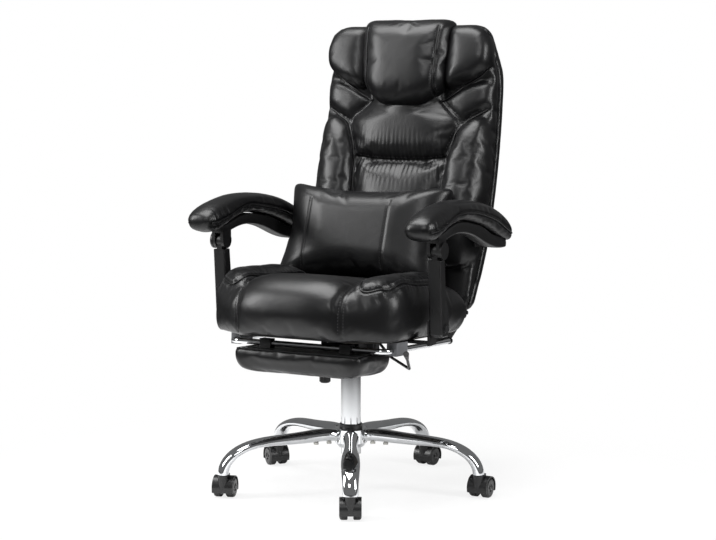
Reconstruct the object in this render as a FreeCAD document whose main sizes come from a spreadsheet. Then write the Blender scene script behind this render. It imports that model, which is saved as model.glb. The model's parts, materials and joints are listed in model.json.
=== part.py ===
import FreeCAD, Part
import Sketcher
import math
import os
from FreeCAD import Placement, Rotation, Vector

# Reclining office chair with a pull-out footrest, in millimetres.
# +Z is up, the floor is z = 0, the column stands on x = y = 0 and the sitter faces -Y,
# so the sitter's left hand is at +X.

doc = FreeCAD.newDocument("reclining_chair")

# Driving dimensions: alias, value, what it is.
SIZES = [
    # Star base and column
    ("base_turn", 28.0, "angle of the first leg from -Y towards +X"),
    ("leg_reach", 333.0, "radius of the caster stem circle"),
    ("leg_level", 140.0, "height of a leg's centre line beside the hub"),
    ("leg_bend_start", 208.0, "radius where a leg starts to bend down"),
    ("leg_end_height", 61.0, "height of a leg's open end"),
    ("leg_root_width", 32.0, "width of a leg beside the hub"),
    ("leg_bend_width", 46.0, "width of a leg where it bends"),
    ("leg_end_width", 38.0, "width of a leg at its end"),
    ("leg_root_depth", 31.0, "depth of a leg beside the hub"),
    ("leg_bend_depth", 23.0, "depth of a leg where it bends"),
    ("leg_end_depth", 28.0, "depth of a leg at its end"),
    ("hub_top_radius", 41.0, "radius of the hub at its top"),
    ("hub_bottom_radius", 31.0, "radius of the hub at its bottom"),
    ("hub_bottom", 110.0, "height of the hub's underside"),
    ("hub_height", 49.0, "height of the hub"),
    ("collar_radius", 29.0, "radius of the black ring on the hub"),
    ("collar_height", 11.0, "height of that ring"),
    ("leg_wall", 2.5, "wall of a leg"),
    ("leg_hollow_reach", 262.0, "distance from the column's axis to where a leg's hollow ends"),
    ("leg_bolt_radius", 4.0, "radius of a leg bolt's shank"),
    ("leg_bolt_head_radius", 6.5, "radius of a leg bolt's head"),
    ("leg_bolt_head_height", 4.5, "height of a leg bolt's head"),
    ("leg_bolt_first", 58.0, "radius where the inner bolt of a leg sits"),
    ("leg_bolt_pitch", 34.0, "distance between a leg's two bolts"),
    ("column_radius", 25.0, "radius of the column's outer tube"),
    ("column_wall", 1.5, "wall of that tube"),
    ("column_bottom", 92.0, "height of the tube's lower end"),
    ("column_top", 330.0, "height of the tube's upper end"),
    ("cylinder_radius", 14.0, "radius of the gas cylinder"),
    ("cylinder_wall", 2.0, "wall of the gas cylinder"),
    ("cylinder_bottom", 118.0, "height of the gas cylinder's lower end"),
    ("cylinder_under_rim", 2.0, "distance of the gas cylinder's upper end under the housing's rim"),
    ("rod_radius", 5.0, "radius of the piston rod"),
    ("bush_length", 70.0, "length of the guide bush in the column's top"),
    ("button_radius", 4.0, "radius of the valve button"),
    ("button_rise", 4.2, "height of the valve button above the cylinder"),
    # Casters
    ("caster_wheel_radius", 25.0, "radius of a caster wheel"),
    ("caster_wheel_width", 19.4, "width of one wheel of the pair"),
    ("caster_web", 13.0, "width of the hood's web between the wheels"),
    ("caster_hood_wall", 2.8, "wall of the hood over the wheels"),
    ("caster_hood_gap", 1.4, "gap between a wheel and the hood over it"),
    ("caster_trail", 17.0, "distance from the stem to the axle"),
    ("caster_stem_radius", 5.5, "radius of the stem"),
    ("caster_stem_length", 24.0, "length of the stem above the hood"),
    ("caster_axle_radius", 4.0, "radius of the wheel axle"),
    ("caster_neck_radius", 13.0, "radius of the hood round the stem"),
    # Mechanism
    ("housing_half_width", 50.0, "half width of the mechanism's housing"),
    ("housing_front", 96.0, "distance from the column's axis to the housing's front"),
    ("housing_rear", 60.0, "distance from the column's axis to the housing's rear"),
    ("housing_bottom", 345.0, "height of the housing's floor"),
    ("housing_top", 376.0, "height of the housing's rim"),
    ("housing_wall", 3.0, "steel thickness of the housing"),
    ("tilt_axle_radius", 6.0, "radius of the rocking axle"),
    ("tilt_axle_y", -45.0, "place of the rocking axle, front to back"),
    ("tilt_axle_rise", 17.0, "height of the rocking axle over the housing's floor"),
    ("knob_x", -36.0, "place of the tension knob, side to side"),
    ("knob_y", -70.0, "place of the tension knob, front to back"),
    ("knob_bottom", 281.0, "height of the knob's lower face"),
    ("knob_height", 29.0, "height of the knob"),
    ("knob_radius", 14.0, "radius of the knob"),
    ("knob_bolt_radius", 4.0, "radius of the knob's bolt"),
    ("spring_radius", 8.5, "mean radius of the tension spring"),
    ("spring_wire", 1.3, "radius of the spring's wire"),
    ("lever_radius", 3.5, "radius of the height lever's rod"),
    ("lever_dip", 42.4, "distance of the lever's bend under the footrest guides"),
    ("lever_tip_x", 251.0, "place of the lever's tip, side to side"),
    ("lever_tip_y", -192.0, "place of the lever's tip, front to back"),
    ("lever_tip_rise", 6.0, "height of the lever's tip over its inner end"),
    ("lever_pivot_x", 62.0, "place of the lever's pivot from the column's axis"),
    ("lever_ear", 4.0, "thickness of the ears that hold the lever"),
    ("lever_pin_radius", 2.0, "radius of the lever's pin"),
    # Seat
    ("seat_tilt", 3.0, "slope of the seat's underside, down to the rear"),
    ("seat_height", 405.0, "height of the seat board's underside over the column"),
    ("board_half_width", 222.0, "half width of the seat board"),
    ("board_front", 280.0, "distance from the column's axis to the board's front"),
    ("board_rear", 140.0, "distance from the column's axis to the board's rear"),
    ("board_thickness", 12.0, "thickness of the seat board"),
    ("board_corner", 66.0, "length cut off the board's front corners"),
    ("plate_half_width", 100.0, "half width of the steel plate under the board"),
    ("plate_thickness", 3.0, "thickness of that plate"),
    ("seat_half_width", 252.0, "half width of the seat"),
    ("seat_front", 328.0, "distance from the column's axis to the seat's front"),
    ("seat_rear", 181.0, "distance from the column's axis to the seat's rear"),
    ("seat_base_height", 121.0, "height of the seat's base cushion over the board's underside"),
    ("seat_corner", 246.0, "distance from the column's axis to where the front corners start"),
    ("centre_half_width", 139.0, "half width of the seat's centre panel"),
    ("centre_thickness", 38.0, "thickness of the centre panel over the base cushion"),
    ("bolster_rise", 156.0, "height of the seat bolsters' crown over the board's underside"),
    # Footrest
    ("rail_offset", 216.0, "distance of a footrest rail from the middle"),
    ("rail_radius", 7.0, "radius of the footrest tube"),
    ("rail_wall", 1.5, "wall of the footrest tube"),
    ("rail_drop", 20.0, "distance of the rails under the board's underside"),
    ("rail_front", 225.0, "distance from the column's axis to the footrest's cross bar"),
    ("rail_rear", 120.0, "distance from the column's axis to the rails' ends"),
    ("rail_bend", 25.0, "bend radius of the footrest tube"),
    ("guide_front", 199.0, "distance from the column's axis to the guides' front"),
    ("guide_length", 59.0, "length of a guide"),
    ("guide_half_width", 13.0, "half width of a guide"),
    ("guide_wall", 5.0, "wall of a guide under the rail"),
    ("cap_length", 6.0, "length of a rail's end cap"),
    ("footpad_half_width", 174.0, "half width of the foot pad"),
    ("footpad_front", 285.0, "distance from the column's axis to the stored pad's front"),
    ("footpad_rear", 104.0, "distance from the column's axis to the stored pad's rear"),
    ("footpad_rim", 30.0, "distance of the pad's rim under the board's underside"),
    ("footpad_bottom", 84.0, "distance of the pad's face under the board's underside"),
    ("footplate_thickness", 10.0, "thickness of the plate on the pad's back"),
    ("footplate_drop", 31.0, "distance of that plate under the board's underside"),
    ("clip_offset", 110.0, "distance of a bar clip from the middle"),
    ("clip_width", 30.0, "width of a bar clip"),
    # Arms
    ("arm_offset", 299.0, "distance of an arm's middle from the chair's middle"),
    ("post_width", 33.0, "width of an arm post, side to side"),
    ("post_pivot_y", -113.0, "place of a post's lower pivot, front to back"),
    ("post_pivot_height", 444.0, "height of a post's lower pivot"),
    ("post_lean", -17.0, "offset of a post's upper pivot from its lower one, front to back"),
    ("post_length", 188.0, "height of a post's upper pivot over its lower one"),
    ("tongue_width", 15.0, "width of the tongue at a post's top"),
    ("tongue_radius", 16.5, "radius of that tongue"),
    ("knuckle_radius", 20.0, "radius of the knuckle's cheeks round the tongue"),
    ("pivot_radius", 6.0, "radius of the arm pivots' bolts"),
    ("pivot_cap_radius", 21.0, "radius of the round cap on the knuckle"),
    ("pivot_cap_height", 5.5, "height of that cap"),
    ("arm_bar_width", 33.0, "width of the arm bar"),
    ("arm_pad_half_width", 43.0, "half width of the arm pad"),
    ("arm_pin_radius", 5.0, "radius of the pin at the arm's rear"),
    ("arm_pin_play", 0.3, "gap between that pin and its hole, which closes the linkage"),
    ("bracket_thickness", 5.0, "thickness of the arm posts' steel brackets"),
    ("bracket_width", 40.0, "width of those brackets"),
    ("bracket_inner", 150.0, "distance from the middle to a bracket's inner end"),
    ("bolt_head_height", 4.5, "height of the pivot bolts' heads"),
    # Back
    ("hinge_y", 238.0, "place of the recline hinge, front to back"),
    ("hinge_height", 436.0, "height of the recline hinge"),
    ("hinge_offset", 202.5, "distance of the hinge brackets from the middle"),
    ("hinge_radius", 15.0, "radius of the hinge's knuckles"),
    ("hinge_plate", 6.0, "thickness of the hinge's plates"),
    ("hinge_pin_radius", 5.0, "radius of the hinge's pin"),
    ("back_half_width", 245.0, "half width of the back"),
    ("back_bottom", 438.0, "height of the back's lower edge"),
    ("back_top", 1176.0, "height of the back's upper edge"),
    ("back_front_low", 188.0, "place of the back's front at its lower edge"),
    ("back_front_mid", 287.0, "place of the back's front half way up"),
    ("back_front_high", 357.0, "place of the back's front at its upper edge"),
    ("back_rear_low", 236.0, "place of the back's rear at its lower edge"),
    ("back_rear_mid", 372.0, "place of the back's rear half way up"),
    ("back_rear_high", 404.0, "place of the back's rear at its upper edge"),
    ("cover_depth", 34.0, "depth of the rear cover's rim"),
    ("back_board_thickness", 10.0, "thickness of the board in the back"),
    ("upper_lean", 11.2, "lean of the back's upper half"),
    ("lower_lean", 15.0, "lean of the back's lower half"),
    ("seam_height", 827.0, "height of the curved cross seam's ends"),
    ("seam_y", 289.0, "place of that seam, front to back"),
    ("bolster_y", 250.0, "place of the lower half's plane at its own origin"),
    ("bolster_height", 690.0, "height of that origin"),
    ("centre_pad_depth", 34.0, "depth of the upper centre panel"),
    ("lower_pad_depth", 26.0, "depth of the lower centre panel"),
    ("back_bolster_depth", 47.0, "depth of the back's side bolsters"),
    ("shoulder_depth", 14.0, "depth of the shoulder panels"),
    ("wing_depth", 50.0, "depth of the head wings"),
    ("head_pillow_depth", 78.0, "depth of the head pillow"),
    ("head_pillow_half_width", 118.0, "half width of the head pillow"),
    ("lumbar_half_width", 228.0, "half width of the lumbar pillow"),
    ("lumbar_half_height", 125.0, "half height of the lumbar pillow"),
    ("lumbar_depth", 116.0, "depth of the lumbar pillow"),
    ("lumbar_side_bow", 7.0, "how far the lumbar pillow's sides bow in"),
    ("lumbar_corner", 12.0, "length of a lumbar pillow corner's turn"),
    ("lumbar_x", -25.0, "place of the lumbar pillow's middle, side to side"),
    ("lumbar_y", 152.0, "place of the lumbar pillow's middle, front to back"),
    ("lumbar_z", 640.0, "height of the lumbar pillow's middle"),
    ("lumbar_lean", 17.0, "lean of the lumbar pillow"),
    # Clearances
    ("running_gap", 0.05, "gap between a shaft and its bore"),
    ("soft_gap", 0.3, "gap between a soft piece and its neighbour"),
    ("side_gap", 0.5, "gap between plates that turn past each other"),
]

LEG_COUNT = 5
# The way each caster has swivelled, from the first leg round, as an angle about +Z.
CASTER_YAWS = [28.0, 0.0, -7.0, 53.0, 16.0]


class Size:
    """A length that knows both its value and the sheet expression it comes from."""

    def __init__(self, value, text):
        self.value = value
        self.text = text

    def __float__(self):
        return float(self.value)

    def joined(self, other, sign, swap=False):
        number = float(other)
        words = other.text if isinstance(other, Size) else repr(number)
        first, second = (words, self.text) if swap else (self.text, words)
        a, b = (number, self.value) if swap else (self.value, number)
        results = {"+": a + b, "-": a - b, "*": a * b, "/": a / b if b else 0.0}
        return Size(results[sign], "(%s %s %s)" % (first, sign, second))

    def __add__(self, other):
        return self.joined(other, "+")

    def __radd__(self, other):
        return self.joined(other, "+", True)

    def __sub__(self, other):
        return self.joined(other, "-")

    def __rsub__(self, other):
        return self.joined(other, "-", True)

    def __mul__(self, other):
        return self.joined(other, "*")

    def __rmul__(self, other):
        return self.joined(other, "*", True)

    def __truediv__(self, other):
        return self.joined(other, "/")

    def __neg__(self):
        return Size(-self.value, "(0 - %s)" % self.text)


class Sizes:
    """The sheet's sizes, one attribute for each alias."""


def fill_sheet():
    sheet = doc.addObject("Spreadsheet::Sheet", "Sizes")
    sizes = Sizes()
    for row, (alias, value, meaning) in enumerate(SIZES, start=1):
        sheet.set("A%d" % row, meaning)
        sheet.set("B%d" % row, str(value))
        sheet.setAlias("B%d" % row, alias)
        setattr(sizes, alias, Size(value, "Sizes." + alias))
    doc.recompute()
    return sizes


s = fill_sheet()

# Heights that several pieces share
cylinder_top = s.housing_top - s.cylinder_under_rim
tilt_axle_level = s.housing_bottom + s.tilt_axle_rise
lever_level = cylinder_top + s.button_rise + s.soft_gap + s.lever_radius

ALONG = {
    "x": Rotation(Vector(0, 1, 0), 90),
    "y": Rotation(Vector(1, 0, 0), -90),
    "z": Rotation(),
}
ROOM = Placement()
SEAT = Placement(Vector(0, 0, s.seat_height), Rotation(Vector(1, 0, 0), -float(s.seat_tilt)))
UPPER_BACK = Placement(
    Vector(0, s.seam_y, s.seam_height), Rotation(Vector(1, 0, 0), 90 - float(s.upper_lean))
)
LOWER_BACK = Placement(
    Vector(0, s.bolster_y, s.bolster_height), Rotation(Vector(1, 0, 0), 90 - float(s.lower_lean))
)
nodes = []


def point(x, y, z):
    return Vector(float(x), float(y), float(z))


def link(item, prop, size):
    """Bind a property to the sheet, or set it where it is a plain number."""
    if isinstance(size, Size):
        item.setExpression(prop, size.text)
    else:
        setattr(item, prop, size)


def node(item):
    """Mark an object as a piece of the chair, which its label names."""
    nodes.append(item)
    return item


def cylinder(name, radius, length, start, along="z", frame=ROOM):
    item = doc.addObject("Part::Cylinder", name)
    link(item, "Radius", radius)
    link(item, "Height", length)
    item.Placement = frame * Placement(point(*start), ALONG[along])
    return item


def block(name, corner, sides, frame=ROOM):
    item = doc.addObject("Part::Box", name)
    for prop, side in zip(("Length", "Width", "Height"), sides):
        link(item, prop, side)
    item.Placement = frame * Placement(point(*corner), Rotation())
    return item


def fused(name, pieces):
    item = doc.addObject("Part::MultiFuse", name)
    item.Shapes = pieces
    return item


def cut(name, base, tools):
    item = doc.addObject("Part::Cut", name)
    item.Base = base
    item.Tool = tools[0] if len(tools) == 1 else fused(name + "_tools", tools)
    return item


def together(name, pieces):
    """Several separate solids that share one node."""
    item = doc.addObject("Part::Compound", name)
    item.Links = pieces
    return item


def solid(name, shape, frame=ROOM):
    item = doc.addObject("Part::Feature", name)
    item.Shape = shape
    item.Placement = frame
    return item


def hold(sketch, corner, axis, size):
    """Fix one coordinate of a sketch's corner, bound to the sheet where it comes from it."""
    if abs(float(size)) < 1e-9:
        line = -2 if axis == "DistanceX" else -1
        sketch.addConstraint(Sketcher.Constraint("PointOnObject", corner, 1, line))
        return
    index = sketch.addConstraint(Sketcher.Constraint(axis, corner, 1, float(size)))
    if isinstance(size, Size):
        sketch.setExpression("Constraints[%d]" % index, size.text)


def polygon(body, name, role, corners):
    """A closed sketch of straight lines on one of the body's own origin planes."""
    sketch = body.newObject("Sketcher::SketchObject", name)
    plane = [item for item in body.Origin.OriginFeatures if item.Role == role][0]
    sketch.AttachmentSupport = [(plane, "")]
    sketch.MapMode = "FlatFace"
    count = len(corners)
    for index in range(count):
        start = corners[index]
        end = corners[(index + 1) % count]
        sketch.addGeometry(Part.LineSegment(point(*start, 0), point(*end, 0)), False)
    for index in range(count):
        sketch.addConstraint(Sketcher.Constraint("Coincident", index, 2, (index + 1) % count, 1))
    for index, (across, up) in enumerate(corners):
        hold(sketch, index, "DistanceX", across)
        hold(sketch, index, "DistanceY", up)
    return sketch


def turned(name, corners, frame=ROOM):
    """A body turned about Z from a half section of (radius, height) corners."""
    body = doc.addObject("PartDesign::Body", name)
    sketch = polygon(body, name + "_section", "XZ_Plane", corners)
    feature = body.newObject("PartDesign::Revolution", name + "_turn")
    feature.Profile = sketch
    feature.ReferenceAxis = (sketch, ["V_Axis"])
    feature.Angle = 360
    body.Placement = frame
    return body


def flat_plate(name, corners, thickness, frame=ROOM):
    """A plate cut to a plan outline of (x, y) corners, standing on its own z = 0."""
    body = doc.addObject("PartDesign::Body", name)
    sketch = polygon(body, name + "_outline", "XY_Plane", corners)
    pad = body.newObject("PartDesign::Pad", name + "_pad")
    pad.Profile = sketch
    link(pad, "Length", thickness)
    body.Placement = frame
    return body


def side_plate(name, corners, thickness, centre_x, rounding=None):
    """A plate cut to a side outline of (y, z) corners, with its long edges rounded."""
    body = doc.addObject("PartDesign::Body", name)
    sketch = polygon(body, name + "_outline", "YZ_Plane", corners)
    pad = body.newObject("PartDesign::Pad", name + "_pad")
    pad.Profile = sketch
    pad.SideType = "Symmetric"
    link(pad, "Length", thickness)
    body.Placement = Placement(point(centre_x, 0, 0), Rotation())
    if rounding:
        doc.recompute()
        half = float(thickness) / 2
        rims = [
            "Edge%d" % (number + 1)
            for number, edge in enumerate(pad.Shape.Edges)
            if abs(abs(edge.CenterOfMass.x) - half) < 1e-6
        ]
        fillet = body.newObject("PartDesign::Fillet", name + "_rounding")
        fillet.Base = (pad, rims)
        link(fillet, "Radius", rounding)
    return body


def sides():
    """The sitter's left side, at +X, and then the right one."""
    return (("left", 1.0), ("right", -1.0))


# Outlines of soft pieces: closed wires of lines and arcs, and lofts through them


def rounded_outline(corners, radii, height, scale=1.0):
    """A closed outline at one height, each corner rounded, drawn in towards its middle."""
    middle_x = sum(float(x) for x, y in corners) / len(corners)
    middle_y = sum(float(y) for x, y in corners) / len(corners)
    points = [
        Vector(
            middle_x + (float(x) - middle_x) * scale,
            middle_y + (float(y) - middle_y) * scale,
            float(height),
        )
        for x, y in corners
    ]
    edges = []
    bends = []
    for index, corner in enumerate(points):
        back = (points[index - 1] - corner).normalize()
        ahead = (points[(index + 1) % len(points)] - corner).normalize()
        half_turn = back.getAngle(ahead) / 2
        radius = float(radii[index]) * scale
        reach = radius / math.tan(half_turn)
        inward = (back + ahead).normalize()
        centre = corner + inward * (radius / math.sin(half_turn))
        bends.append((corner + back * reach, centre - inward * radius, corner + ahead * reach))
    for index, (start, middle, end) in enumerate(bends):
        edges.append(Part.Arc(start, middle, end).toShape())
        following = bends[(index + 1) % len(bends)][0]
        edges.append(Part.LineSegment(end, following).toShape())
    return Part.Wire(edges)


def cushion(corners, radii, layers):
    """A crowned pad: the outline at each (height, scale) layer, lofted."""
    wires = [rounded_outline(corners, radii, height, scale) for height, scale in layers]
    return Part.makeLoft(wires, True, False)


def crowned(depth, flat=0.5, low=0.0):
    """Layers of a pad whose side turns over into a crown, flat over a part of its outline."""
    layers = [(low - 8, 0.985)]
    last = 86.0
    for turn in (0.0, 20.0, 40.0, 58.0, 74.0, last):
        rise = math.sin(math.radians(turn)) / math.sin(math.radians(last))
        reach = math.cos(math.radians(turn))
        layers.append((low + depth * (0.12 + 0.88 * rise), flat + (1 - flat) * reach))
    return layers


def mirrored(shape):
    return shape.mirror(Vector(0, 0, 0), Vector(1, 0, 0))


def ring_section(centre, half_width, half_height, crown, corner, y):
    """A crowned, rounded rectangle across X and Z, at one place along Y."""
    width = half_width - corner
    height = half_height - corner
    diagonal = corner * math.sqrt(0.5)
    spots = [
        (width, half_height),
        (width + diagonal, height + diagonal),
        (half_width, height),
        (half_width + crown, 0),
        (half_width, -height),
        (width + diagonal, -height - diagonal),
        (width, -half_height),
        (0, -half_height - crown),
        (-width, -half_height),
        (-width - diagonal, -height - diagonal),
        (-half_width, -height),
        (-half_width - crown, 0),
        (-half_width, height),
        (-width - diagonal, height + diagonal),
        (-width, half_height),
        (0, half_height + crown),
    ]
    points = [Vector(centre[0] + x, y, centre[1] + z) for x, z in spots]
    edges = []
    for index in range(0, len(points), 2):
        trio = [points[(index + step) % len(points)] for step in range(3)]
        edges.append(Part.Arc(*trio).toShape())
    return Part.Wire(edges)


def bent_path(points, radius):
    """Straight runs joined by tangent arcs of one radius."""
    edges = []
    start = points[0]
    for before, corner, after in zip(points, points[1:], points[2:]):
        back = (before - corner).normalize()
        ahead = (after - corner).normalize()
        half_turn = back.getAngle(ahead) / 2
        reach = radius / math.tan(half_turn)
        inward = (back + ahead).normalize()
        middle = corner + inward * (radius / math.sin(half_turn) - radius)
        edges.append(Part.LineSegment(start, corner + back * reach).toShape())
        edges.append(Part.Arc(corner + back * reach, middle, corner + ahead * reach).toShape())
        start = corner + ahead * reach
    edges.append(Part.LineSegment(start, points[-1]).toShape())
    return Part.Wire(edges)


def round_bar(path, radius):
    first = path.Edges[0]
    circle = Part.Circle(first.valueAt(first.FirstParameter), first.tangentAt(0), radius)
    return path.makePipeShell([Part.Wire([circle.toShape()])], True, False)


# Star base


def leg_angle(index):
    """The direction of a leg, as an angle about +Z from +X."""
    return -90 + float(s.base_turn) + index * 360.0 / LEG_COUNT


def leg_stations():
    """Centre, slope, width and depth of a leg's section, from the hub outwards."""
    level = float(s.leg_level)
    bend = float(s.leg_bend_start)
    run = float(s.leg_reach - s.leg_bend_start)
    drop_start = level - 4
    drop = drop_start - float(s.leg_end_height)
    root = float(s.hub_top_radius) - 4
    stations = [
        (root, level, 0.0, s.leg_root_width, s.leg_root_depth),
        (root + (bend - root) * 0.5, level, 0.0, s.leg_root_width + 3, s.leg_root_depth),
        (bend, drop_start, 8.0, (s.leg_root_width + s.leg_bend_width) / 2, s.leg_bend_depth + 2),
    ]
    for part, width, depth in (
        (30.0, s.leg_bend_width, s.leg_bend_depth),
        (58.0, (s.leg_bend_width + s.leg_end_width) / 2, (s.leg_bend_depth + s.leg_end_depth) / 2),
        (90.0, s.leg_end_width, s.leg_end_depth),
    ):
        turn = math.radians(part)
        radius = bend + run * math.sin(turn)
        height = drop_start - drop * (1 - math.cos(turn))
        stations.append((radius, height, part, width, depth))
    return stations


def leg_loft(name, turn, stations, inset):
    """A loft through a leg's oval sections, each drawn in by the inset."""
    sections = []
    for number, (radius, height, slope, width, depth) in enumerate(stations):
        ring = doc.addObject("Part::Ellipse", "%s_section_%d" % (name, number))
        link(ring, "MajorRadius", width / 2 - inset)
        link(ring, "MinorRadius", depth / 2 - inset)
        # The section's long way lies across the leg and its short way stands up.
        stand = Rotation(Vector(0, 1, 0), slope) * Rotation(Vector(0, 1, 0), Vector(0, 0, 1), Vector(1, 0, 0))
        ring.Placement = turn * Placement(Vector(radius, 0, height), stand)
        sections.append(ring)
    loft = doc.addObject("Part::Loft", name)
    loft.Sections = sections
    loft.Solid = True
    return loft


def make_leg(index):
    name = "base_leg_%d" % (index + 1)
    turn = Placement(Vector(), Rotation(Vector(0, 0, 1), leg_angle(index)))
    stations = leg_stations()
    loft = leg_loft(name + "_outside", turn, stations, 0)
    # The leg is a tube up to its end, which is solid round the caster's stem.
    inside = leg_loft(name + "_inside", turn, stations, s.leg_wall)
    reach = cylinder(name + "_hollow_reach", s.leg_hollow_reach, s.leg_level * 2, (0, 0, 0))
    hollow = doc.addObject("Part::Common", name + "_hollow")
    hollow.Base = inside
    hollow.Tool = reach
    socket_start = turn.multVec(point(s.leg_reach, 0, s.leg_end_height - 1))
    socket = cylinder(
        name + "_socket",
        s.caster_stem_radius + s.running_gap,
        s.caster_stem_length + 2,
        socket_start,
    )
    hub_room = cylinder(name + "_hub_room", s.hub_top_radius, 200, (0, 0, 40))
    tools = [socket, hub_room, hollow]
    for radius in (s.leg_bolt_first, s.leg_bolt_first + s.leg_bolt_pitch):
        spot = turn.multVec(point(radius, 0, s.leg_level - s.leg_root_depth / 2 - 2))
        tools.append(cylinder(name + "_bolt_hole", s.leg_bolt_radius, 16, spot))
    return node(cut(name, loft, tools))


def make_leg_bolts():
    bolts = []
    for index in range(LEG_COUNT):
        turn = Placement(Vector(), Rotation(Vector(0, 0, 1), leg_angle(index)))
        under = s.leg_level - s.leg_root_depth / 2
        for radius in (s.leg_bolt_first, s.leg_bolt_first + s.leg_bolt_pitch):
            spot = turn.multVec(point(radius, 0, under - s.leg_bolt_head_height))
            shank = cylinder("leg_bolt_shank", s.leg_bolt_radius - s.running_gap, 15, spot)
            head = cylinder("leg_bolt_head", s.leg_bolt_head_radius, s.leg_bolt_head_height, spot)
            bolts.append(fused("leg_bolt", [shank, head]))
    return node(together("leg_bolts", bolts))


def make_base():
    bore = s.column_radius + s.running_gap
    top = s.hub_bottom + s.hub_height
    node(turned("base_hub", [
        (bore, s.hub_bottom),
        (s.hub_bottom_radius, s.hub_bottom),
        (s.hub_top_radius, s.hub_bottom + 12),
        (s.hub_top_radius, top - 3),
        (s.hub_top_radius - 3, top),
        (bore, top),
    ]))
    node(turned("hub_collar", [
        (bore, top),
        (s.collar_radius, top),
        (s.collar_radius, top + s.collar_height - 2),
        (s.collar_radius - 2, top + s.collar_height),
        (bore, top + s.collar_height),
    ]))
    for index in range(LEG_COUNT):
        make_leg(index)
    make_leg_bolts()


# Gas lift


def make_column():
    inner = s.column_radius - s.column_wall
    floor = s.column_bottom + 6
    node(turned("column_tube", [
        (s.rod_radius + s.running_gap, s.column_bottom),
        (s.column_radius, s.column_bottom),
        (s.column_radius, s.column_top),
        (inner, s.column_top),
        (inner, floor),
        (s.rod_radius + s.running_gap, floor),
    ]))
    bush_bottom = s.column_top - s.bush_length
    bush = turned("guide_bush", [
        (s.cylinder_radius + s.running_gap, bush_bottom),
        (inner - s.running_gap, bush_bottom),
        (inner - s.running_gap, s.column_top),
        (s.column_radius, s.column_top),
        (s.column_radius, s.column_top + 4),
        (s.cylinder_radius + s.running_gap, s.column_top + 4),
    ])
    bearing = turned("thrust_bearing", [
        (s.rod_radius + s.running_gap, floor),
        (s.rod_radius + 8, floor),
        (s.rod_radius + 8, floor + 7),
        (s.rod_radius + s.running_gap, floor + 7),
    ])
    node(together("column_bearings", [bush, bearing]))
    head = s.cylinder_radius - s.cylinder_wall - s.running_gap
    head_top = cylinder_top - 32
    node(turned("piston_rod", [
        (0, s.column_bottom - 4),
        (s.rod_radius + 3, s.column_bottom - 4),
        (s.rod_radius + 3, s.column_bottom),
        (s.rod_radius, s.column_bottom),
        (s.rod_radius, head_top - 14),
        (head, head_top - 14),
        (head, head_top),
        (0, head_top),
    ]))
    bore = s.cylinder_radius - s.cylinder_wall
    node(turned("gas_cylinder", [
        (s.rod_radius + s.running_gap, s.cylinder_bottom),
        (s.cylinder_radius, s.cylinder_bottom),
        (s.cylinder_radius, cylinder_top),
        (s.button_radius + s.running_gap, cylinder_top),
        (s.button_radius + s.running_gap, cylinder_top - 14),
        (bore, cylinder_top - 14),
        (bore, s.cylinder_bottom + 12),
        (s.rod_radius + s.running_gap, s.cylinder_bottom + 12),
    ]))
    node(turned("valve_button", [
        (0, cylinder_top - 9),
        (s.button_radius, cylinder_top - 9),
        (s.button_radius, cylinder_top + s.button_rise - 1),
        (s.button_radius - 1, cylinder_top + s.button_rise),
        (0, cylinder_top + s.button_rise),
    ]))


# Casters


def make_caster(index):
    name = "caster_%d" % (index + 1)
    angle = math.radians(leg_angle(index))
    reach = float(s.leg_reach)
    frame = Placement(
        Vector(reach * math.cos(angle), reach * math.sin(angle), 0),
        Rotation(Vector(0, 0, 1), CASTER_YAWS[index]),
    )
    half_web = s.caster_web / 2
    axle_gap = 0.3
    wheel_start = half_web + axle_gap
    total_half = wheel_start + s.caster_wheel_width + 0.2
    hood_radius = s.caster_wheel_radius + s.caster_hood_gap + s.caster_hood_wall
    axle = (s.caster_trail, s.caster_wheel_radius)
    top = s.leg_end_height - 0.3

    dome = cylinder(
        name + "_dome", hood_radius, total_half * 2, (-total_half, *axle), "x", frame
    )
    neck = cylinder(
        name + "_neck", s.caster_neck_radius, s.caster_wheel_radius + 10,
        (0, 0, top - s.caster_wheel_radius - 10), "z", frame,
    )
    stem = cylinder(
        name + "_stem", s.caster_stem_radius, s.caster_stem_length + 10, (0, 0, top - 10),
        "z", frame,
    )
    roof = block(
        name + "_roof", (-s.caster_neck_radius, 0, top - 8),
        (s.caster_neck_radius * 2, s.caster_trail, 8), frame,
    )
    pocket_radius = s.caster_wheel_radius + s.caster_hood_gap
    pockets = [
        cylinder(name + "_pocket", pocket_radius, 60, (half_web, *axle), "x", frame),
        cylinder(name + "_pocket", pocket_radius, 60, (-half_web - 60, *axle), "x", frame),
        # The hood stops above the floor and is open under the wheels.
        block(name + "_floor_room", (-60, -60, -20), (120, 140, 34), frame),
    ]
    shell = cut(name + "_shell", fused(name + "_outer", [dome, neck, roof]), pockets)
    axle_pin = cylinder(
        name + "_axle", s.caster_axle_radius, total_half * 2 - 1,
        (-total_half + 0.5, *axle), "x", frame,
    )
    node(fused(name, [shell, stem, axle_pin]))

    radius = s.caster_wheel_radius
    width = s.caster_wheel_width
    bore = s.caster_axle_radius + s.running_gap
    wheels = []
    for side, turn in (("left", 90), ("right", -90)):
        place = frame * Placement(point(0, *axle), Rotation(Vector(0, 1, 0), turn))
        wheels.append(turned("%s_wheel_%s" % (name, side), [
            (bore, wheel_start),
            (radius - 2, wheel_start),
            (radius, wheel_start + 2),
            (radius, wheel_start + width - 5),
            (radius - 1.6, wheel_start + width - 1.6),
            (radius - 5, wheel_start + width),
            (bore + 6, wheel_start + width),
            (bore + 4, wheel_start + width - 2),
            (bore, wheel_start + width - 2),
        ], place))
    node(together(name + "_wheels", wheels))


# Mechanism under the seat


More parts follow.
